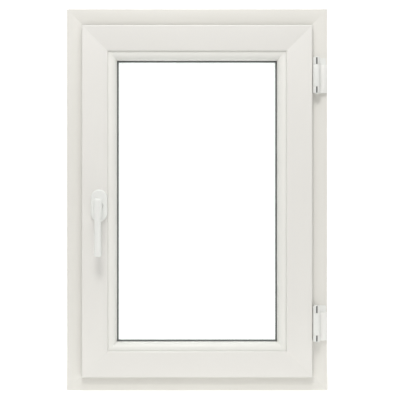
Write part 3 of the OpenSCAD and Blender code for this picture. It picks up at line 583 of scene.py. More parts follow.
def circle(radius, count=40):
    turns = (2 * math.pi * i / count for i in range(count))
    return [Vector((radius * math.cos(turn), radius * math.sin(turn))) for turn in turns]


def turned_piece(name, centre, axis, profile, count=40):
    """A solid turned round an axis. profile is a list of (distance along, radius)."""
    shell = Shell()
    place = bolt_axis(centre, axis)
    loops = [shell.loop(place(along, a, b) for a, b in circle(radius, count))
             for along, radius in profile]
    shell.wall(loops)
    shell.cap(loops[0])
    shell.cap(loops[-1])
    return shell.mesh(name)


def block(name, low, high, radius=0.3):
    """A block between two corners, extruded along X with rounded long edges."""
    shell = Shell()
    outline = oblong(low[1], high[1], low[2], high[2], radius)
    shell.tube([outline], lambda x, y, z: (x, y, z), [low[0], high[0]])
    return shell.mesh(name)


print("turned pieces and blocks ready")

# %% [markdown]
# ## The outer frame
# The four bars are lengths of one hollow extrusion, sawn at 45 degrees and welded. After welding, the
# bead of molten plastic is scraped off, which leaves a very shallow furrow along each mitre. A
# bevelled box could pass for a bar from the front, but not in an open window, so each bar is
# extruded from its true outline: a groove for the seal in the upstand, a drainage channel in the
# floor of the rebate and two dovetails round the outside, where a sill or a trim strip clips on.

# %% A mitred bar
WELD_DIP, WELD_REACH = 0.12, 0.7            # depth and width of the furrow along a weld


def on_side(side, ring):
    """Stands a bar that is drawn along X, with u upwards, on one side of a ring."""
    width, height, bottom = ring
    return {
        "bottom": lambda x, y, u: (x, y, bottom + u),
        "top": lambda x, y, u: (-x, y, bottom + height - u),
        "left": lambda x, y, u: (-width / 2 + u, y, bottom + height / 2 - x),
        "right": lambda x, y, u: (width / 2 - u, y, bottom + height / 2 + x),
    }[side]


def mitred_bar(name, side, ring, outlines):
    """A hollow bar whose ends lie on the 45 degree planes of its ring."""
    stand = on_side(side, ring)
    half = (ring[0] if LIES[side] == "across" else ring[1]) / 2

    def place(level, y, u):
        end, back = level
        return stand(end * (half - u - back), y, u)

    shell = Shell()
    levels = [(-1, 0), (-1, WELD_REACH), (1, WELD_REACH), (1, 0)]
    shell.tube(outlines, place, levels, [WELD_DIP, 0, 0, WELD_DIP])
    return shell.mesh(name)


def welded(names, ring, outlines):
    """The four bars of a ring, by side."""
    return {side: mitred_bar(f"visual_{name}", side, ring, outlines) for side, name in names.items()}


print("a weld's furrow is", WELD_REACH, "mm wide on each side")

# %% The frame's outline
WALL, PARTITION = 3, 1.5                    # of the profiles
DOVETAILS, DOVETAIL_DEEP = (-26, 26), 3.5   # middles and depth of the grooves round the outside
CHANNEL_DEEP = 1.2                          # of the drainage channel in the rebate's floor
STEEL_ROOM = (-17.5, 17.5)                  # the middle chamber, which holds the steel
GROOVE_HALF, GROOVE_DEEP = 1.2, 2.2         # of a groove that holds a seal


def dovetail(middle):
    """Corners of a dovetail groove in the outside of the frame, from one side to the other."""
    return [(middle - 3, 0, 0.3), (middle - 4, DOVETAIL_DEEP, 0.4),
            (middle + 4, DOVETAIL_DEEP, 0.4), (middle + 3, 0, 0.3)]


def seal_groove(face, way, middle, turn):
    """Corners of a seal's groove in a face at y = face. way points into the plastic."""
    near, far = middle + GROOVE_HALF * turn, middle - GROOVE_HALF * turn
    deep = face + GROOVE_DEEP * way
    return [(face, near, 0), (deep, near, 0.2), (deep, far, 0.2), (face, far, 0)]


def chamber(front, back, low, high):
    return oblong(front, back, low, high, 0.8)


SEAL_U = box_mm("frame_gasket")[0].z, box_mm("frame_gasket")[0].z + 4
frame_outline = rounded(
    [(FRAME_FRONT, 0, 0.8), *dovetail(DOVETAILS[0]), *dovetail(DOVETAILS[1]), (FRAME_BACK, 0, 0.8),
     (FRAME_BACK, U_UPSTAND, 1.5), (UPSTAND_FRONT, U_UPSTAND, 1.5),
     *seal_groove(UPSTAND_FRONT, 1, sum(SEAL_U) / 2, 1), (UPSTAND_FRONT, U_FLOOR, 0.8),
     (14, U_FLOOR, 0.5), (13, U_FLOOR - CHANNEL_DEEP, 0.5), (-7, U_FLOOR - CHANNEL_DEEP, 0.5),
     (-8, U_FLOOR, 0.5), (FRAME_FRONT, U_FLOOR, 1.5)]
)
over_dovetail, under_floor = DOVETAIL_DEEP + WALL, U_FLOOR - WALL
frame_chambers = [
    chamber(FRAME_FRONT + WALL, STEEL_ROOM[0] - PARTITION, over_dovetail, under_floor),
    chamber(*STEEL_ROOM, WALL, under_floor),
    chamber(STEEL_ROOM[1] + PARTITION, FRAME_BACK - WALL, over_dovetail, under_floor),
    chamber(UPSTAND_FRONT + GROOVE_DEEP + 2, FRAME_BACK - WALL, U_FLOOR + 0.5, U_UPSTAND - WALL),
]
print(len(frame_outline), "points in the frame's outline")

# %% The frame's bars
FRAME_NODES = dict(zip(SIDES, ("frame_sill", "frame_head", "frame_jamb_handle",
                               "frame_jamb_hinge")))
frame_bars = welded(FRAME_NODES, FRAME_RING, [frame_outline, *frame_chambers])
print(len(frame_bars), "frame bars")

# %% [markdown]
# Holes come next. Each jamb takes two long screws into the wall. The sill drains through two slots
# in its back, under the small caps. Both run across the extrusion, so they can't be part of its
# outline, and a boolean cuts them.

# %% Fixing holes
def fixing_hole(x, y, z, radius):
    """Drills a jamb from outside, and countersinks the hole in the rebate's floor."""
    side, inwards = ("left", 1) if x < 0 else ("right", -1)
    floor = U_FLOOR - CHANNEL_DEEP
    profile = [(-1, radius), (floor - 0.6, radius), (floor + 1, radius + 1.6)]
    carve(frame_bars[side], turned_piece("drill", (x, y, z), "x",
                                         [(inwards * along, r) for along, r in profile]))


patterns = [m for m in frame["record"]["mounts"] if m["kind"] == "bolt_pattern"]
for mount in patterns:
    x, y, z = (value / MM for value in mount["pos_m"])
    for way in (-1, 1):
        level = z + way * mount["dims"]["spacing_y_mm"] / 2
        fixing_hole(x, y, level, mount["dims"]["hole_r_mm"])
print(len(patterns), "pairs of fixing holes")

# %% Drainage slots
CAP = box_mm("drainage_caps")
CAP_LENGTH = 42
SLOT_HALF = 13
cap_middles = [way * (CAP[1].x - CAP_LENGTH / 2) for way in (-1, 1)]
for middle in cap_middles:
    slot = block("slot", (middle - SLOT_HALF, FRAME_BACK - 4.5, CAP[0].z + 4),
                 (middle + SLOT_HALF, FRAME_BACK + 1, CAP[0].z + 9), 1.0)
    carve(frame_bars["bottom"], slot)
for side, node in FRAME_NODES.items():
    finished(frame_bars[side], "frame", [node], plastic["frame", LIES[side]])
print("drainage slots at", [round(middle) for middle in cap_middles])

# %% [markdown]
# ## The sash
# The sash is welded in the same way from a bigger extrusion, so the same function makes it. Its
# flange laps over the frame, and its rebate side has the stepped groove that all window hardware is
# made for. The stile at the handle has a pocket for the gear case, and holes for the handle's
# spindle and screws.

# %% Sash bars
GROOVE_Y = (PLATE[0].y + PLATE[1].y) / 2
HOOK = (-44, -39)                           # front and back of the groove for the bead's hook
SASH_SEAL_U = (1.5, 6.0)
INNER_FOOT, OUTER_FOOT = V_SIGHT - 3.7, V_SIGHT - 2.8       # middles of the glazing seals' feet
hardware_groove = [(8.1, 0), (8.1, 3), (6.2, 3), (6.2, 9), (-6.2, 9), (-6.2, 3), (-8.1, 3), (-8.1, 0)]
sash_outline = rounded(
    [(SASH_FRONT, 0, 3), (SASH_FRONT, V_GLAZING, 4.5), (HOOK[0], V_GLAZING, 0.3),
     (HOOK[0], V_GLAZING - 5, 0.3), (HOOK[1], V_GLAZING - 5, 0.3), (HOOK[1], V_GLAZING, 0.3),
     (LIP_BACK, V_GLAZING, 0.5), *seal_groove(LIP_BACK, 1, OUTER_FOOT, -1),
     (LIP_BACK, V_SIGHT, 1), (SASH_BACK, V_SIGHT, 3), (SASH_BACK, V_REBATE, 0.8),
     *[(GROOVE_Y + y, V_REBATE + v, 0.3) for y, v in hardware_groove], (FLANGE_BACK, V_REBATE, 0.5),
     *seal_groove(FLANGE_BACK, -1, sum(SASH_SEAL_U) / 2, 1), (FLANGE_BACK, 0, 0.8)]
)
sash_chambers = [           # in the flange, the front, the lock side, round the steel, outside
    chamber(-48, -41.6, WALL, V_REBATE + WALL),
    chamber(-48, -37, 25, 51),
    chamber(-35.5, -16, 31, V_GLAZING - WALL),
    chamber(-14.5, 3.5, V_REBATE + WALL, V_GLAZING - WALL),
    chamber(8, 16, V_REBATE + WALL, V_SIGHT - WALL),
]
SASH_NODES = dict(zip(SIDES, ("sash_bottom_rail", "sash_top_rail", "sash_stile_handle",
                              "sash_stile_hinge")))
sash_bars = welded(SASH_NODES, SASH_RING, [sash_outline, *sash_chambers])
print(len(sash_outline), "points in the sash's outline")

# %% Pocket and holes for the handle
BASE_PLATE = box_mm("handle_rosette_base")
AXIS_X = (BASE_PLATE[0].x + BASE_PLATE[1].x) / 2
AXIS_Z = (BASE_PLATE[0].z + BASE_PLATE[1].z) / 2
CASE = box_mm("gear_case")
SCREW_RISE = 43 / 2
drills = [(0, 6.0, GROOVE_Y)]               # height above the axis, radius, and end in y
for rise in (SCREW_RISE, -SCREW_RISE):
    drills += [(rise, 2.8, GROOVE_Y), (rise, 2.5, -13)]
stile = sash_bars["left"]
carve(stile, block("pocket", (PLATE[0].x - 2, CASE[0].y - 0.5, CASE[0].z - 0.4),
                   (CASE[1].x + 0.4, CASE[1].y + 0.5, CASE[1].z + 0.4), 1.0))
for rise, radius, end in drills:
    carve(stile, turned_piece("drill", (AXIS_X, 0, AXIS_Z + rise), "y",
                              [(SASH_FRONT - 1, radius), (end, radius)]))
for side, node in SASH_NODES.items():
    finished(sash_bars[side], "sash", [node], plastic["sash", LIES[side]])
print("handle axis at", round(AXIS_X, 1), round(AXIS_Z, 1))

# %% [markdown]
# ### Glazing beads
# A bead holds the glass from inside and clips into a groove in the sash. Beads are cut last and
# pressed in one by one, so their mitres are butted and stay visible as thin lines. One ring swept
# round the glass would lose those lines, so the beads are four bars too. Towards the glass the bead
# is well rounded, and where it meets the sash there is a narrow dark seam.

# %% Beads
bead_outline = rounded(
    [(BEAD_FRONT, V_GLAZING, 0.9), (BEAD_FRONT, V_SIGHT, 13), (BEAD_BACK, V_SIGHT, 0.5),
     *seal_groove(BEAD_BACK, -1, INNER_FOOT, 1), (BEAD_BACK, V_GLAZING, 0.5),
     (HOOK[1] - 0.3, V_GLAZING, 0.3), (HOOK[1] - 0.3, V_GLAZING - 4.7, 0.6),
     (HOOK[0] + 0.3, V_GLAZING - 4.7, 0.6), (HOOK[0] + 0.3, V_GLAZING, 0.3)]
)
bead_chamber = oblong(BEAD_FRONT + 5, BEAD_BACK - 4, V_GLAZING + WALL, V_SIGHT - 6, 1.2)
for side in SIDES:
    bead = mitred_bar(f"visual_bead_{side}", side, SASH_RING, [bead_outline, bead_chamber])
    finished(bead, "sash", [f"glazing_bead_{side}"], plastic["bead", LIES[side]])
print(len(bead_outline), "points in the bead's outline")

# %% [markdown]
# ## Seals
# All four seals are closed rings with a foot pressed into a groove. The two weather seals have a
# bulb that is squeezed when the sash shuts. The two glazing seals have a lip against the glass. The
# inner one shows as a thin grey line all round the pane. A curve with a bevel could sweep a ring,
# but it pinches at square corners, so the outline is set in the four mitre planes and joined up.

# %% A ring of seal
def ring_of(name, ring, outline):
    """Sweeps an outline once round a ring with square mitred corners."""
    width, height, bottom = ring
    shell = Shell()
    loops = []
    for right, up in ((-1, 0), (1, 0), (1, 1), (-1, 1)):
        loops.append(shell.loop(
            (right * (width / 2 - u), y, bottom + (height - u if up else u)) for y, u in outline))
    shell.wall(loops + loops[:1])
    return shell.mesh(name)


def foot(face, way, middle, half, waist):
    """Corners of the foot of a seal, which spreads from waist to half inside its groove."""
    deep = face + 2 * way
    return [(face, middle - waist, 0), (deep, middle - half, 0.2), (deep, middle + half, 0.2),
            (face, middle + waist, 0)]


def bulb_seal(face, way, reach, low, high):
    """A seal on a face at y = face. way points into the groove, and the bulb stands off by reach."""
    middle = (low + high) / 2
    return rounded([
        *foot(face, way, middle, 1.0, 0.8), (face, high, 0.2), (face - 0.8 * way, high, 0.3),
        (face - reach * way, middle + 1.2, 1.1), (face - reach * way, middle - 1.2, 1.1),
        (face - 0.8 * way, low, 0.3), (face, low, 0.2)])


print(len(bulb_seal(0, 1, 5, 0, 4)), "points in a seal's outline")

# %% Weather seals
HINGES = "upper", "lower"
frame_bulb = UPSTAND_FRONT - box_mm("frame_gasket")[0].y
sash_bulb = box_mm("sash_gasket")[1].y - FLANGE_BACK
frame_seal = ring_of("visual_frame_gasket", FRAME_RING,
                     bulb_seal(UPSTAND_FRONT, 1, frame_bulb, *SEAL_U))
sash_seal = ring_of("visual_sash_gasket", SASH_RING,
                    bulb_seal(FLANGE_BACK, -1, sash_bulb, *SASH_SEAL_U))
for which in HINGES:
    low, high = box_mm(f"{which}_hinge_sash_leaf")
    carve(sash_seal, block("gap", (low.x - 3, FLANGE_BACK - 6, low.z - 0.3),
                           (high.x + 9, 0, high.z + 0.3)))
finished(frame_seal, "frame", ["frame_gasket"], seal_rubber)
finished(sash_seal, "sash", ["sash_gasket"], seal_rubber)
print("bulbs stand off by", round(frame_bulb, 1), "and", round(sash_bulb, 1))

# %% Glazing seals
GLASS_FRONT = box_mm("glass_inner_pane")[0].y
GLASS_BACK = box_mm("glass_outer_pane")[1].y
LIP_RISE = V_SIGHT + 3.2                    # how far the inner lip shows past the bead
inner_seal = ring_of("visual_gasket_inner", SASH_RING, rounded([
    (GLASS_FRONT, V_SIGHT - 7, 0.3), (GLASS_FRONT, LIP_RISE, 0.2), (GLASS_FRONT - 1.4, LIP_RISE, 0.7),
    (BEAD_BACK, V_SIGHT + 0.8, 0.5), *reversed(foot(BEAD_BACK, -1, INNER_FOOT, 1.0, 0.9)),
    (BEAD_BACK, V_SIGHT - 7, 0.3)]))
outer_seal = ring_of("visual_gasket_outer", SASH_RING, rounded([
    (GLASS_BACK, V_SIGHT - 6, 0.3), (LIP_BACK, V_SIGHT - 6, 0.3),
    *foot(LIP_BACK, 1, OUTER_FOOT, 1.1, 1.0), (LIP_BACK, V_SIGHT - 0.4, 0.3),
    (LIP_BACK - 1.4, V_SIGHT + 1, 0.6), (GLASS_BACK, V_SIGHT + 1, 0.2)]))
finished(inner_seal, "sash", ["glazing_gasket_inner"], seal_rubber)
finished(outer_seal, "sash", ["glazing_gasket_outer"], seal_rubber)
print("the inner lip reaches", round(LIP_RISE, 1))

# %% [markdown]
# ## The handle
# The lever is one casting: a round neck that turns in the rosette, a full head, and a flat grip that
# widens a little at its end. A boolean could join a neck to a grip, but it would leave a hard line
# where the casting is soft. So the lever is a coarse cage of sixteen-sided slices, with the neck
# grown out of the back of the head, and subdivision flows everything together. At the back of the
# neck are the square socket for the spindle and the groove of the retaining ring.

# %% The lever's measures
AROUND = 16                 # points of a slice
SQUARENESS = 2.7            # 2 would be a true oval
GRIP_Y = -94.5
SLICES = [      # height above the axis, half width, half thickness, distance in front of GRIP_Y
    (15.4, 4.6, 3.6, 1.0), (14.0, 8.2, 6.4, 1.0), (11.6, 9.6, 7.5, 1.0), (8.5, 9.9, 8.0, 1.0),
    (3.0, 9.9, 8.2, 1.0), (-3.0, 9.9, 8.2, 1.0), (-8.5, 9.8, 8.0, 1.0), (-14.0, 9.6, 7.4, 0.9),
    (-19.5, 8.9, 6.7, 0.6), (-25.0, 7.7, 6.0, 0.3), (-31.0, 7.35, 5.7, 0.1),
    (-50.0, 7.3, 5.6, -0.7), (-72.0, 7.3, 5.6, -1.9), (-88.0, 7.4, 5.6, -2.9),
    (-98.0, 7.9, 5.7, -3.6), (-105.5, 8.1, 5.5, -4.2), (-108.8, 7.2, 4.6, -4.4),
    (-110.0, 4.8, 2.6, -4.5),
]
NECK_TOP, NECK_LOW = 3, 6           # the neck leaves the head between these slices
NECK_POINTS = range(1, 7)           # and between these points of a slice, at its back
NECK = [    # distance along y, radius
    (-85.5, 9.9), (-81.0, 9.3), (-76.0, 9.2), (-60.0, 9.2), (-53.0, 9.2), (-51.6, 9.1),
    (-51.4, 8.6), (-51.4, 5.0),
]


def squarish(half_w, half_t):
    """Points of an oval that is a little square."""
    points = []
    for i in range(AROUND):
        turn = 2 * math.pi * (i + 0.5) / AROUND
        a, b = math.cos(turn), math.sin(turn)
        points.append((math.copysign(half_w * abs(a) ** (2 / SQUARENESS), a),
                       math.copysign(half_t * abs(b) ** (2 / SQUARENESS), b)))
    return points


def fit_to(piece, node):
    """Stretches a mesh by a hair, so that it fills the box of its CAD node."""
    low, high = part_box(node)
    mesh_low = Vector(min(v.co[k] for v in piece.data.vertices) for k in range(3))
    mesh_high = Vector(max(v.co[k] for v in piece.data.vertices) for k in range(3))
    for vertex in piece.data.vertices:
        for k in range(3):
            share = (vertex.co[k] - mesh_low[k]) / (mesh_high[k] - mesh_low[k])
            vertex.co[k] = low[k] + share * (high[k] - low[k])


print(len(SLICES), "slices, lever", SLICES[0][0] - SLICES[-1][0], "mm long")

# %% The lever's cage
shell = Shell()
slices = []
for rise, half_w, half_t, ahead in SLICES:
    slices.append(shell.loop((AXIS_X + a, GRIP_Y - ahead + b, AXIS_Z + rise)
                             for a, b in squarish(half_w, half_t)))
for level, (over, under) in enumerate(zip(slices, slices[1:])):
    for i in range(AROUND):
        behind_neck = NECK_TOP <= level < NECK_LOW and i in NECK_POINTS[1:]
        if not behind_neck:
            shell.bm.faces.new((over[i - 1], over[i], under[i], under[i - 1]))
shell.bm.faces.new(slices[0])
shell.bm.faces.new(slices[-1])
first, last = NECK_POINTS[0], NECK_POINTS[-1]
between_rows = range(NECK_TOP + 1, NECK_LOW)
hole = [slices[NECK_TOP][i] for i in reversed(NECK_POINTS)]
hole += [slices[row][first] for row in between_rows]
hole += [slices[NECK_LOW][i] for i in NECK_POINTS]
hole += [slices[row][last] for row in reversed(between_rows)]
turns = [2 * math.pi * (last + 0.5 - k) / AROUND for k in range(AROUND)]
neck = [hole]
for y, radius in NECK:
    neck.append(shell.loop((AXIS_X + radius * math.cos(turn), y, AXIS_Z + radius * math.sin(turn))
                           for turn in turns))
shell.wall(neck)
shell.bm.faces.new(neck[-1])
lever = shell.mesh("visual_lever")
lever.modifiers.new("flow", "SUBSURF").levels = 3
lever.data = evaluated(lever)
lever.modifiers.clear()
fit_to(lever, "handle_lever")
print("lever", len(lever.data.polygons), "faces")

# %% Socket and groove
SPINDLE = box_mm("handle_spindle")
RING = box_mm("handle_retaining_ring")
on_handle = bolt_axis((AXIS_X, 0, AXIS_Z), "y")
carve(lever, block("socket", (SPINDLE[0].x - 0.1, SPINDLE[0].y - 1, SPINDLE[0].z - 0.1),
                   (SPINDLE[1].x + 0.1, SASH_FRONT + 1, SPINDLE[1].z + 0.1)))
ring_front, ring_back = RING[0].y, RING[1].y
shell = Shell()
loops = [shell.loop(on_handle(y, a, b) for a, b in circle(radius)) for y, radius in (
    (ring_front, 8.2), (ring_front, 10.5), (ring_back, 10.5), (ring_back, 8.2))]
shell.wall(loops + loops[:1])
carve(lever, shell.mesh("ring_groove"))
finished(lever, "handle", ["handle_lever"], paint)
print("lever with its socket", len(lever.data.polygons), "faces")

# %% [markdown]
# The rosette is a thin cover over a moulded base, with its two screws hidden between them. The
# cover is pressed from one sheet, so it is drawn as one chain of loops: up the outside, over the
# rounded edge, down the collar round the neck and back along the inside. All loops have the same
# number of points, evenly spaced, so that the oblong can turn into the round collar.

# %% Rosette cover
def evenly(outline, count):
    """The outline again, as evenly spaced points."""
    closed = outline + outline[:1]
    lengths = [(q - p).length for p, q in zip(closed, closed[1:])]
    step = sum(lengths) / count
    points, walked, leg = [], 0.0, 0
    for i in range(count):
        while walked + lengths[leg] < i * step:
            walked += lengths[leg]
            leg += 1
        points.append(closed[leg].lerp(closed[leg + 1], (i * step - walked) / lengths[leg]))
    return points


COVER = box_mm("handle_rosette_cover")
half_w, half_h = (COVER[1].x - COVER[0].x) / 2, (COVER[1].z - COVER[0].z) / 2
cover_outline = evenly(oblong(-half_w, half_w, -half_h, half_h, half_w - 0.4), 96)
front, back = COVER[0].y, COVER[1].y
RIM_ROUND = 3
rim = [(front + RIM_ROUND * (1 - math.sin(turn)), 0.3 + RIM_ROUND * (1 - math.cos(turn)))
       for turn in (math.radians(15 * k) for k in range(7))]
collar = [(front, 10.6), (front, 9.9), (front + 0.15, 9.55), (front + 0.5, 9.4), (front + 1.6, 9.4),
          (front + 1.6, 10.6)]
inside = [(front + 1.6, 4.4), (front + 2.0, 2.6), (front + 3.2, 1.9), (back, 1.6)]
shell = Shell()


def cover_loop(y, depth):
    return shell.loop(on_handle(y, a, b) for a, b in inset(cover_outline, depth))


def collar_loop(y, radius):
    return shell.loop(on_handle(y, *(point.normalized() * radius)) for point in cover_outline)


loops = [cover_loop(y, depth) for y, depth in ((back, 0), (back - 0.4, 0), *rim)]
loops += [collar_loop(y, radius) for y, radius in collar]
loops += [cover_loop(y, depth) for y, depth in inside]
shell.wall(loops + loops[:1])
rosette = shell.mesh("visual_rosette_cover")
finished(rosette, "sash", ["handle_rosette_cover"], paint)
print("rosette", len(rosette.data.polygons), "faces")

# %% [markdown]
# ## Hinges
# Each hinge is two bent steel leaves round a pin. The leaf on the sash has the long middle knuckle
# and wraps round the edge of the sash into its rebate. The leaf on the frame has a knuckle at each
# end, rolled until only a narrow seam stays open at the front. Seen from above, a leaf is an outline
# of arcs and straight bends, so it is drawn like that and extruded upwards. Only the plate on the
# frame is drawn from the front, and a boolean joins its knuckles to it.

# %% Shapes in a hinge
BARREL, WEB, THICK = 7.5, 3.5, 2.8          # radius of a knuckle, half its web, and the sheet
BORE, BUSH_ROOM = 3.55, 4.9                 # radii of the holes for the pin and for the bushes
SEAM = 1.5                                  # half the width of the open seam
KNUCKLE_TOP, KNUCKLE_LOW = 15, 13           # lengths of the frame's two knuckles
HEAD_LENGTH = 2.0                           # of the pin's heads


def turn_at(offset, radius):
    """The angle in degrees of the point of a circle whose x is offset."""
    return math.degrees(math.acos(offset / radius))


def arc(from_degrees, to_degrees, radius=BARREL, steps=26):
    """Corners along part of a knuckle, for rounded()."""
    turns = [math.radians(from_degrees + (to_degrees - from_degrees) * i / steps)
             for i in range(steps + 1)]
    return [(radius * math.cos(turn), radius * math.sin(turn), 0) for turn in turns]


def upright(name, centre, outlines, low, high, edge):
    """An outline with holes, extruded upwards, with softened ends."""
    def place(z, a, b):
        return centre.x + a, centre.y + b, z

    levels = [low, low + 0.3 * edge, low + edge, high - edge, high - 0.3 * edge, high]
    shell = Shell()
    shell.tube(outlines, place, levels, [edge, 0.3 * edge, 0, 0, 0.3 * edge, edge])
    return shell.mesh(name)


web_turn = turn_at(WEB, BARREL)
print("the web leaves the knuckle at", round(web_turn), "degrees")

# %% Sash leaf
SASH_SCREW_Y, SASH_SCREW_RISES = -10, (-16, 16)


def sash_leaf(which, pin):
    """The leaf wraps round the edge of the sash: past the frame's face, then back into the rebate."""
    low, high = box_mm(f"{which}_hinge_sash_leaf")
    back, tail, left = FRAME_FRONT - 0.6 - pin.y, high.y - pin.y, low.x - pin.x
    outline = rounded(
        [*arc(180 - web_turn, 360 + web_turn, steps=60), (WEB, back, 0.8), (left + THICK, back, 0.8),
         (left + THICK, tail, 0.8), (left, tail, 0.8), (left, back - THICK, 2.0),
         (-WEB, back - THICK, 1.2)])
    leaf = upright(f"visual_{which}_sash_leaf", pin, [outline, circle(BUSH_ROOM)], low.z, high.z, 0.5)
    countersink = [(-1, 2.1), (0.8, 2.1), (2.8, 4.05), (4, 5.2)]
    for rise in SASH_SCREW_RISES:
        place = (low.x, SASH_SCREW_Y, (low.z + high.z) / 2 + rise)
        carve(leaf, turned_piece("drill", place, "x", countersink))
    finished(leaf, "sash", [f"{which}_hinge_sash_leaf"], paint)


print("sash leaf of", THICK, "mm sheet")

# %% Frame leaf
FRAME_SCREW_X, FRAME_SCREW_RISES = 273, (-24, 14)
PLATE_START = 4.2                           # from the pin's axis


def frame_leaf(which, pin):
    """A flat plate with a knuckle at each end."""
    low, high = box_mm(f"{which}_hinge_frame_leaf")
    pin_low = box_mm(f"{which}_hinge_pin")[0].z
    sash_low, sash_high = box_mm(f"{which}_hinge_sash_leaf")
    right, plate = high.x - pin.x, FRAME_FRONT - pin.y
    seam_turn, bore_turn = turn_at(SEAM, BARREL), turn_at(SEAM, BORE)
    knuckle = rounded(
        [*arc(-seam_turn, web_turn), (WEB, plate - THICK, 1.5), (right - 1, plate - THICK, 0),
         (right - 1, plate, 0), (-WEB, plate, 0.6), *arc(180 - web_turn, 180 + seam_turn),
         *arc(180 + bore_turn, -bore_turn, BORE)])
    shell = Shell()
    shell.tube([oblong(PLATE_START, right, low.z, high.z, 1.5)],
               lambda y, a, z: (pin.x + a, pin.y + y, z),
               [plate - THICK, plate - THICK + 0.15, plate - THICK + 0.5, plate], [0.5, 0.15, 0, 0])
    leaf = shell.mesh(f"visual_{which}_frame_leaf")
    foot_z = pin_low + HEAD_LENGTH
    for start, end in ((high.z - KNUCKLE_TOP, high.z), (foot_z, foot_z + KNUCKLE_LOW)):
        carve(leaf, upright("knuckle", pin, [knuckle], start, end, 0.4), "UNION")
    countersink = [(-1, 5.1), (0, 4.1), (2.05, 2.1), (4, 2.1)]
    for rise in FRAME_SCREW_RISES:
        place = (FRAME_SCREW_X, FRAME_FRONT - THICK, (sash_low.z + sash_high.z) / 2 + rise)
        carve(leaf, turned_piece("drill", place, "y", countersink))
    finished(leaf, "frame", [f"{which}_hinge_frame_leaf"], paint)


print("frame leaf with knuckles of", KNUCKLE_TOP, "and", KNUCKLE_LOW, "mm")

# %% Pin
HEAD = [(0, 3.0), (0.25, 4.0), (0.7, 4.7), (1.3, 5.0), (HEAD_LENGTH, 5.0), (HEAD_LENGTH, 3.5)]


def hinge_pin(which, pin):
    """A pin in a dark grey that paints the shade in the knuckles' seams, with a white head at each
    end.
    """
    low, high = (corner.z for corner in box_mm(f"{which}_hinge_pin"))
    profile = [(low + along, radius) for along, radius in HEAD]
    profile += [(high - along, radius) for along, radius in reversed(HEAD)]
    piece = turned_piece(f"visual_{which}_pin", (pin.x, pin.y, 0), "z", profile, 48)
    finished(piece, "frame", [f"{which}_hinge_pin"], seam_shade_pin_steel)
    piece.data.materials.append(paint)
    for face in piece.data.polygons:
        if abs(face.center.z / MM - pin.z) > (high - low) / 2 - HEAD_LENGTH - 0.1:
            face.material_index = 1


for which in HINGES:
    pin = sum(box_mm(f"{which}_hinge_pin"), Vector()) / 2
    sash_leaf(which, pin)
    frame_leaf(which, pin)
    hinge_pin(which, pin)
    print(which, "hinge pin at", round(pin.x, 1), round(pin.y, 1))

# %% [markdown]
# A moulded cover snaps over the plate and hides its screws. Its front leans back towards the edge of
# the frame. It is thin, so a smaller copy of its outline hollows it, and it is open at the left and
# at its ends, where the leaf comes out of it.

# %% Hinge covers
COVER_WALL = 1.4
leaf_room = FRAME_FRONT - THICK - 0.2
for which in HINGES:
    low, high = box_mm(f"{which}_hinge_cover")
    outline = rounded([(low.x, high.y, 0), (low.x, low.y, 1.4), (low.x + 8.6, low.y, 5),
                       (high.x, low.y + 3.4, 1.8), (high.x, high.y, 0)])
    hollow = rounded([
        (low.x + COVER_WALL, high.y + 2, 0), (low.x + COVER_WALL, low.y + COVER_WALL, 0.6),
        (low.x + 8.4, low.y + COVER_WALL, 4), (high.x - COVER_WALL, low.y + 4.7, 1),
        (high.x - COVER_WALL, high.y + 2, 0)])
    cover = upright(f"visual_{which}_hinge_cover", Vector(), [outline], low.z, high.z, 1.2)
    carve(cover, upright("hollow", Vector(), [hollow], low.z + COVER_WALL, high.z - COVER_WALL, 0.3))
    for z0, z1 in ((low.z + 1.6, high.z + 2), (low.z - 2, low.z + 2.4)):
        carve(cover, block("way_out", (low.x - 1, leaf_room, z0), (high.x - 2.8, high.y + 3, z1)))
    finished(cover, "frame", [f"{which}_hinge_cover"], moulding)
print("covers", round(high.z - low.z, 1), "mm tall")

# %% [markdown]
# ## Screws and caps
# Window screws are countersunk, with a cross recess, and cut their own thread. Each one is a turned
# shape: a flat head with a softened rim, a cone, ridges for the thread and a short point. A true
# helix would cost far more faces than it shows at this size. Two thin blocks cut the cross. The CAD
# model keeps like screws in one node, so the place of each is found from its separate solids.

# %% Where the screws are
def solid_boxes(node):
    """Lowest and highest corner of each separate solid of a CAD node, in millimetres."""
    bm = bmesh.new()
    bm.from_mesh(nodes[node].data)
    bmesh.ops.remove_doubles(bm, verts=bm.verts, dist=0.00001)
    unseen = set(bm.verts)
    boxes = []
    while unseen:
        group, edge = [], [unseen.pop()]
        while edge:
            vertex = edge.pop()
            group.append(nodes[node].matrix_world @ vertex.co / MM)
            for other in (link.other_vert(vertex) for link in vertex.link_edges):
                if other in unseen:
                    unseen.discard(other)
                    edge.append(other)
        boxes.append([Vector(pick(point[k] for point in group) for k in range(3))
                      for pick in (min, max)])
    bm.free()
    return boxes


SCREWS = [("striker_screws", "frame", "x", -1), ("hinge_frame_screws", "frame", "y", 1),
          ("faceplate_screws", "sash", "x", 1), ("hinge_sash_screws", "sash", "x", -1),
          ("handle_screws", "sash", "y", 1)]
print(sum(len(solid_boxes(node)) for node, *_ in SCREWS), "screws")

# %% Screws
THREAD_PITCH = 1.3


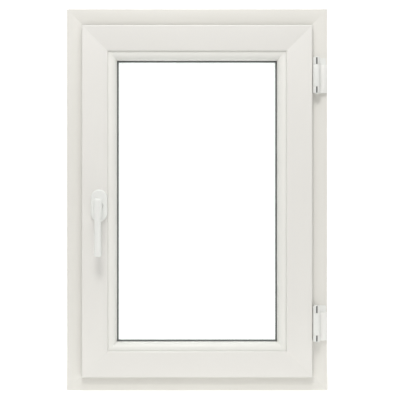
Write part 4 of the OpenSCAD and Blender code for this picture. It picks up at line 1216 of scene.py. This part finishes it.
def screw(low, high, axis, way):
    """A screw that fills a box. way is the direction of its point along the axis."""
    k = "xyz".index(axis)
    across = [i for i in range(3) if i != k]
    length = high[k] - low[k]
    head = (high[across[0]] - low[across[0]]) / 2
    shank = head * 0.5
    core = shank * 0.78
    start = (low + high) / 2
    start[k] = low[k] if way > 0 else high[k]
    profile = [(0, head * 0.8), (0.05, head - 0.25), (0.25, head - 0.02), (0.45, head),
               (head - shank + 0.5, shank)]
    along = head - shank + 1.2
    while along < length - 4:
        profile += [(along, core), (along + 0.45, shank), (along + 0.9, core)]
        along += THREAD_PITCH
    profile += [(length - 3, shank * 0.7), (length - 0.3, 0.35), (length, 0.12)]
    piece = turned_piece("screw", start, axis, [(way * x, radius) for x, radius in profile], 20)
    deep, arm = head * 0.55, (head * 0.62, 0.42)
    for reaches in (arm, arm[::-1]):
        low_corner, high_corner = Vector(start), Vector(start)
        low_corner[k] -= 1 if way > 0 else deep
        high_corner[k] += deep if way > 0 else 1
        for i, reach in zip(across, reaches):
            low_corner[i] -= reach
            high_corner[i] += reach
        carve(piece, block("cross", low_corner, high_corner, 0.1))
    return piece


def joined(name, pieces):
    """One mesh out of several pieces."""
    bm = bmesh.new()
    for piece in pieces:
        bm.from_mesh(piece.data)
        bpy.data.objects.remove(piece)
    mesh = bpy.data.meshes.new(name)
    bm.to_mesh(mesh)
    bm.free()
    made = bpy.data.objects.new(name, mesh)
    bpy.context.scene.collection.objects.link(made)
    return made


for node, body, axis, way in SCREWS:
    screws = joined(f"visual_{node}", [screw(*box, axis, way) for box in solid_boxes(node)])
    finished(screws, body, [node], screw_steel)
    print(node, len(screws.data.polygons), "faces")

# %% [markdown]
# The caps over the drainage slots outside are small hoods, closed at the top and open below, so
# that the wind can't blow the water back in. Each is an extruded oblong, hollowed by a block, with
# a few ribs joined on inside.

# %% Drainage caps
HOOD_WALL, RIB_PITCH = 1.2, 6
hoods = []
for middle in cap_middles:
    outline = oblong(middle - CAP_LENGTH / 2, middle + CAP_LENGTH / 2, CAP[0].z, CAP[1].z, 3)
    shell = Shell()
    shell.tube([outline], lambda y, x, z: (x, y, z),
               [CAP[0].y, CAP[1].y - 1.2, CAP[1].y - 0.4, CAP[1].y], [0, 0, 0.35, 1.2])
    hood = shell.mesh("hood")
    carve(hood, block("hollow", (middle - 17, CAP[0].y - 1, CAP[0].z - 2),
                      (middle + 17, CAP[1].y - HOOD_WALL, CAP[1].z - 1.8), 1.2))
    for rib in range(-2, 3):
        at = middle + RIB_PITCH * rib
        fin = block("fin", (at - 0.5, CAP[0].y + 0.2, CAP[0].z + 0.8),
                    (at + 0.5, CAP[1].y - 1.0, CAP[1].z - 1.5), 0.2)
        carve(hood, fin, "UNION")
    hoods.append(hood)
caps = joined("visual_drainage_caps", hoods)
finished(caps, "frame", ["drainage_caps"], moulding)
print("caps", len(caps.data.polygons), "faces")

# %% [markdown]
# ## Pieces that keep their CAD shape
# The panes, the reinforcements and most of the lock's inner works are already right in the CAD
# model. They only need a softened edge and a finish. A CAD mesh is never edited here, so a bevel
# modifier rounds its edges, after a weld modifier has joined its loose triangles.

# %% Finishes for the CAD pieces
def dress(names, material, bevel=0):
    """Rounds the edges of CAD pieces by a modifier and gives them a finish."""
    for name in names:
        piece = nodes[name]
        piece.data.materials.clear()
        piece.data.materials.append(material)
        if bevel:
            weld = piece.modifiers.new("weld", "WELD")
            weld.merge_threshold = 0.00001
            edge = piece.modifiers.new("edge", "BEVEL")
            edge.width = bevel * MM
            edge.segments = 2
            edge.limit_method = "ANGLE"
            edge.angle_limit = math.radians(40)
    print(*names)


PANES = ["glass_inner_pane", "glass_outer_pane"]
dress(PANES, glass, 0.4)
for pane in PANES:
    nodes[pane].visible_shadow = False
dress(["spacer_bar"], spacer_metal, 0.5)
dress(["edge_sealant"], sealant, 0.3)
dress(["glazing_packers"], packer_plastic, 0.4)
dress(["frame_reinforcements", "sash_reinforcements"], galvanised, 0.3)
dress(["gear_case", "drive_rod", "espagnolette_faceplate", "striker_plates"], zinc, 0.2)
dress(["gear_case_rivets", "handle_spindle", "handle_retaining_ring"], screw_steel, 0.2)
dress(["locking_cams"], cam_steel, 0.2)
dress(["handle_rosette_base"], moulding, 0.3)
dress(["gear_pinion"], gear_steel)
dress(["hinge_bushes"], bush_plastic)

# %% [markdown]
# ## Floor
# A pale light table stands under the window. A plain white plane would show a grey shadow and an
# edge against the room, so the table glows: least in front, so that little light comes from below,
# and most behind the window, where it melts into the white room.

# %% Light table
table_top = bpy.data.meshes.new("light_table")
bm = bmesh.new()
bmesh.ops.create_grid(bm, x_segments=1, y_segments=1, size=4)
bm.to_mesh(table_top)
bm.free()
table = bpy.data.objects.new("light_table", table_top)
bpy.context.scene.collection.objects.link(table)
f = Finish("light_table", {"Roughness": 0.9, "Specular IOR Level": 0.1,
                           "Base Color": (0.9, 0.9, 0.89, 1), "Emission Strength": 0.85})
depth = f.node("SeparateXYZ", {}, {0: f.where()}, out="Y")
under_lens, under_window, behind = (0.08, 0.08, 0.08, 1), (0.42, 0.42, 0.41, 1), (1, 1, 1, 1)
lit = f.mix(f.between(depth, -0.5, -0.2), under_lens, under_window)
lit = f.mix(f.between(depth, 0.1, 0.6), lit, behind)
f.feed(f.shader.inputs["Emission Color"], lit)
table_top.materials.append(f.material)
print("light table", [round(v, 1) for v in table.dimensions])

# %% Update the scene
bpy.context.view_layer.update()
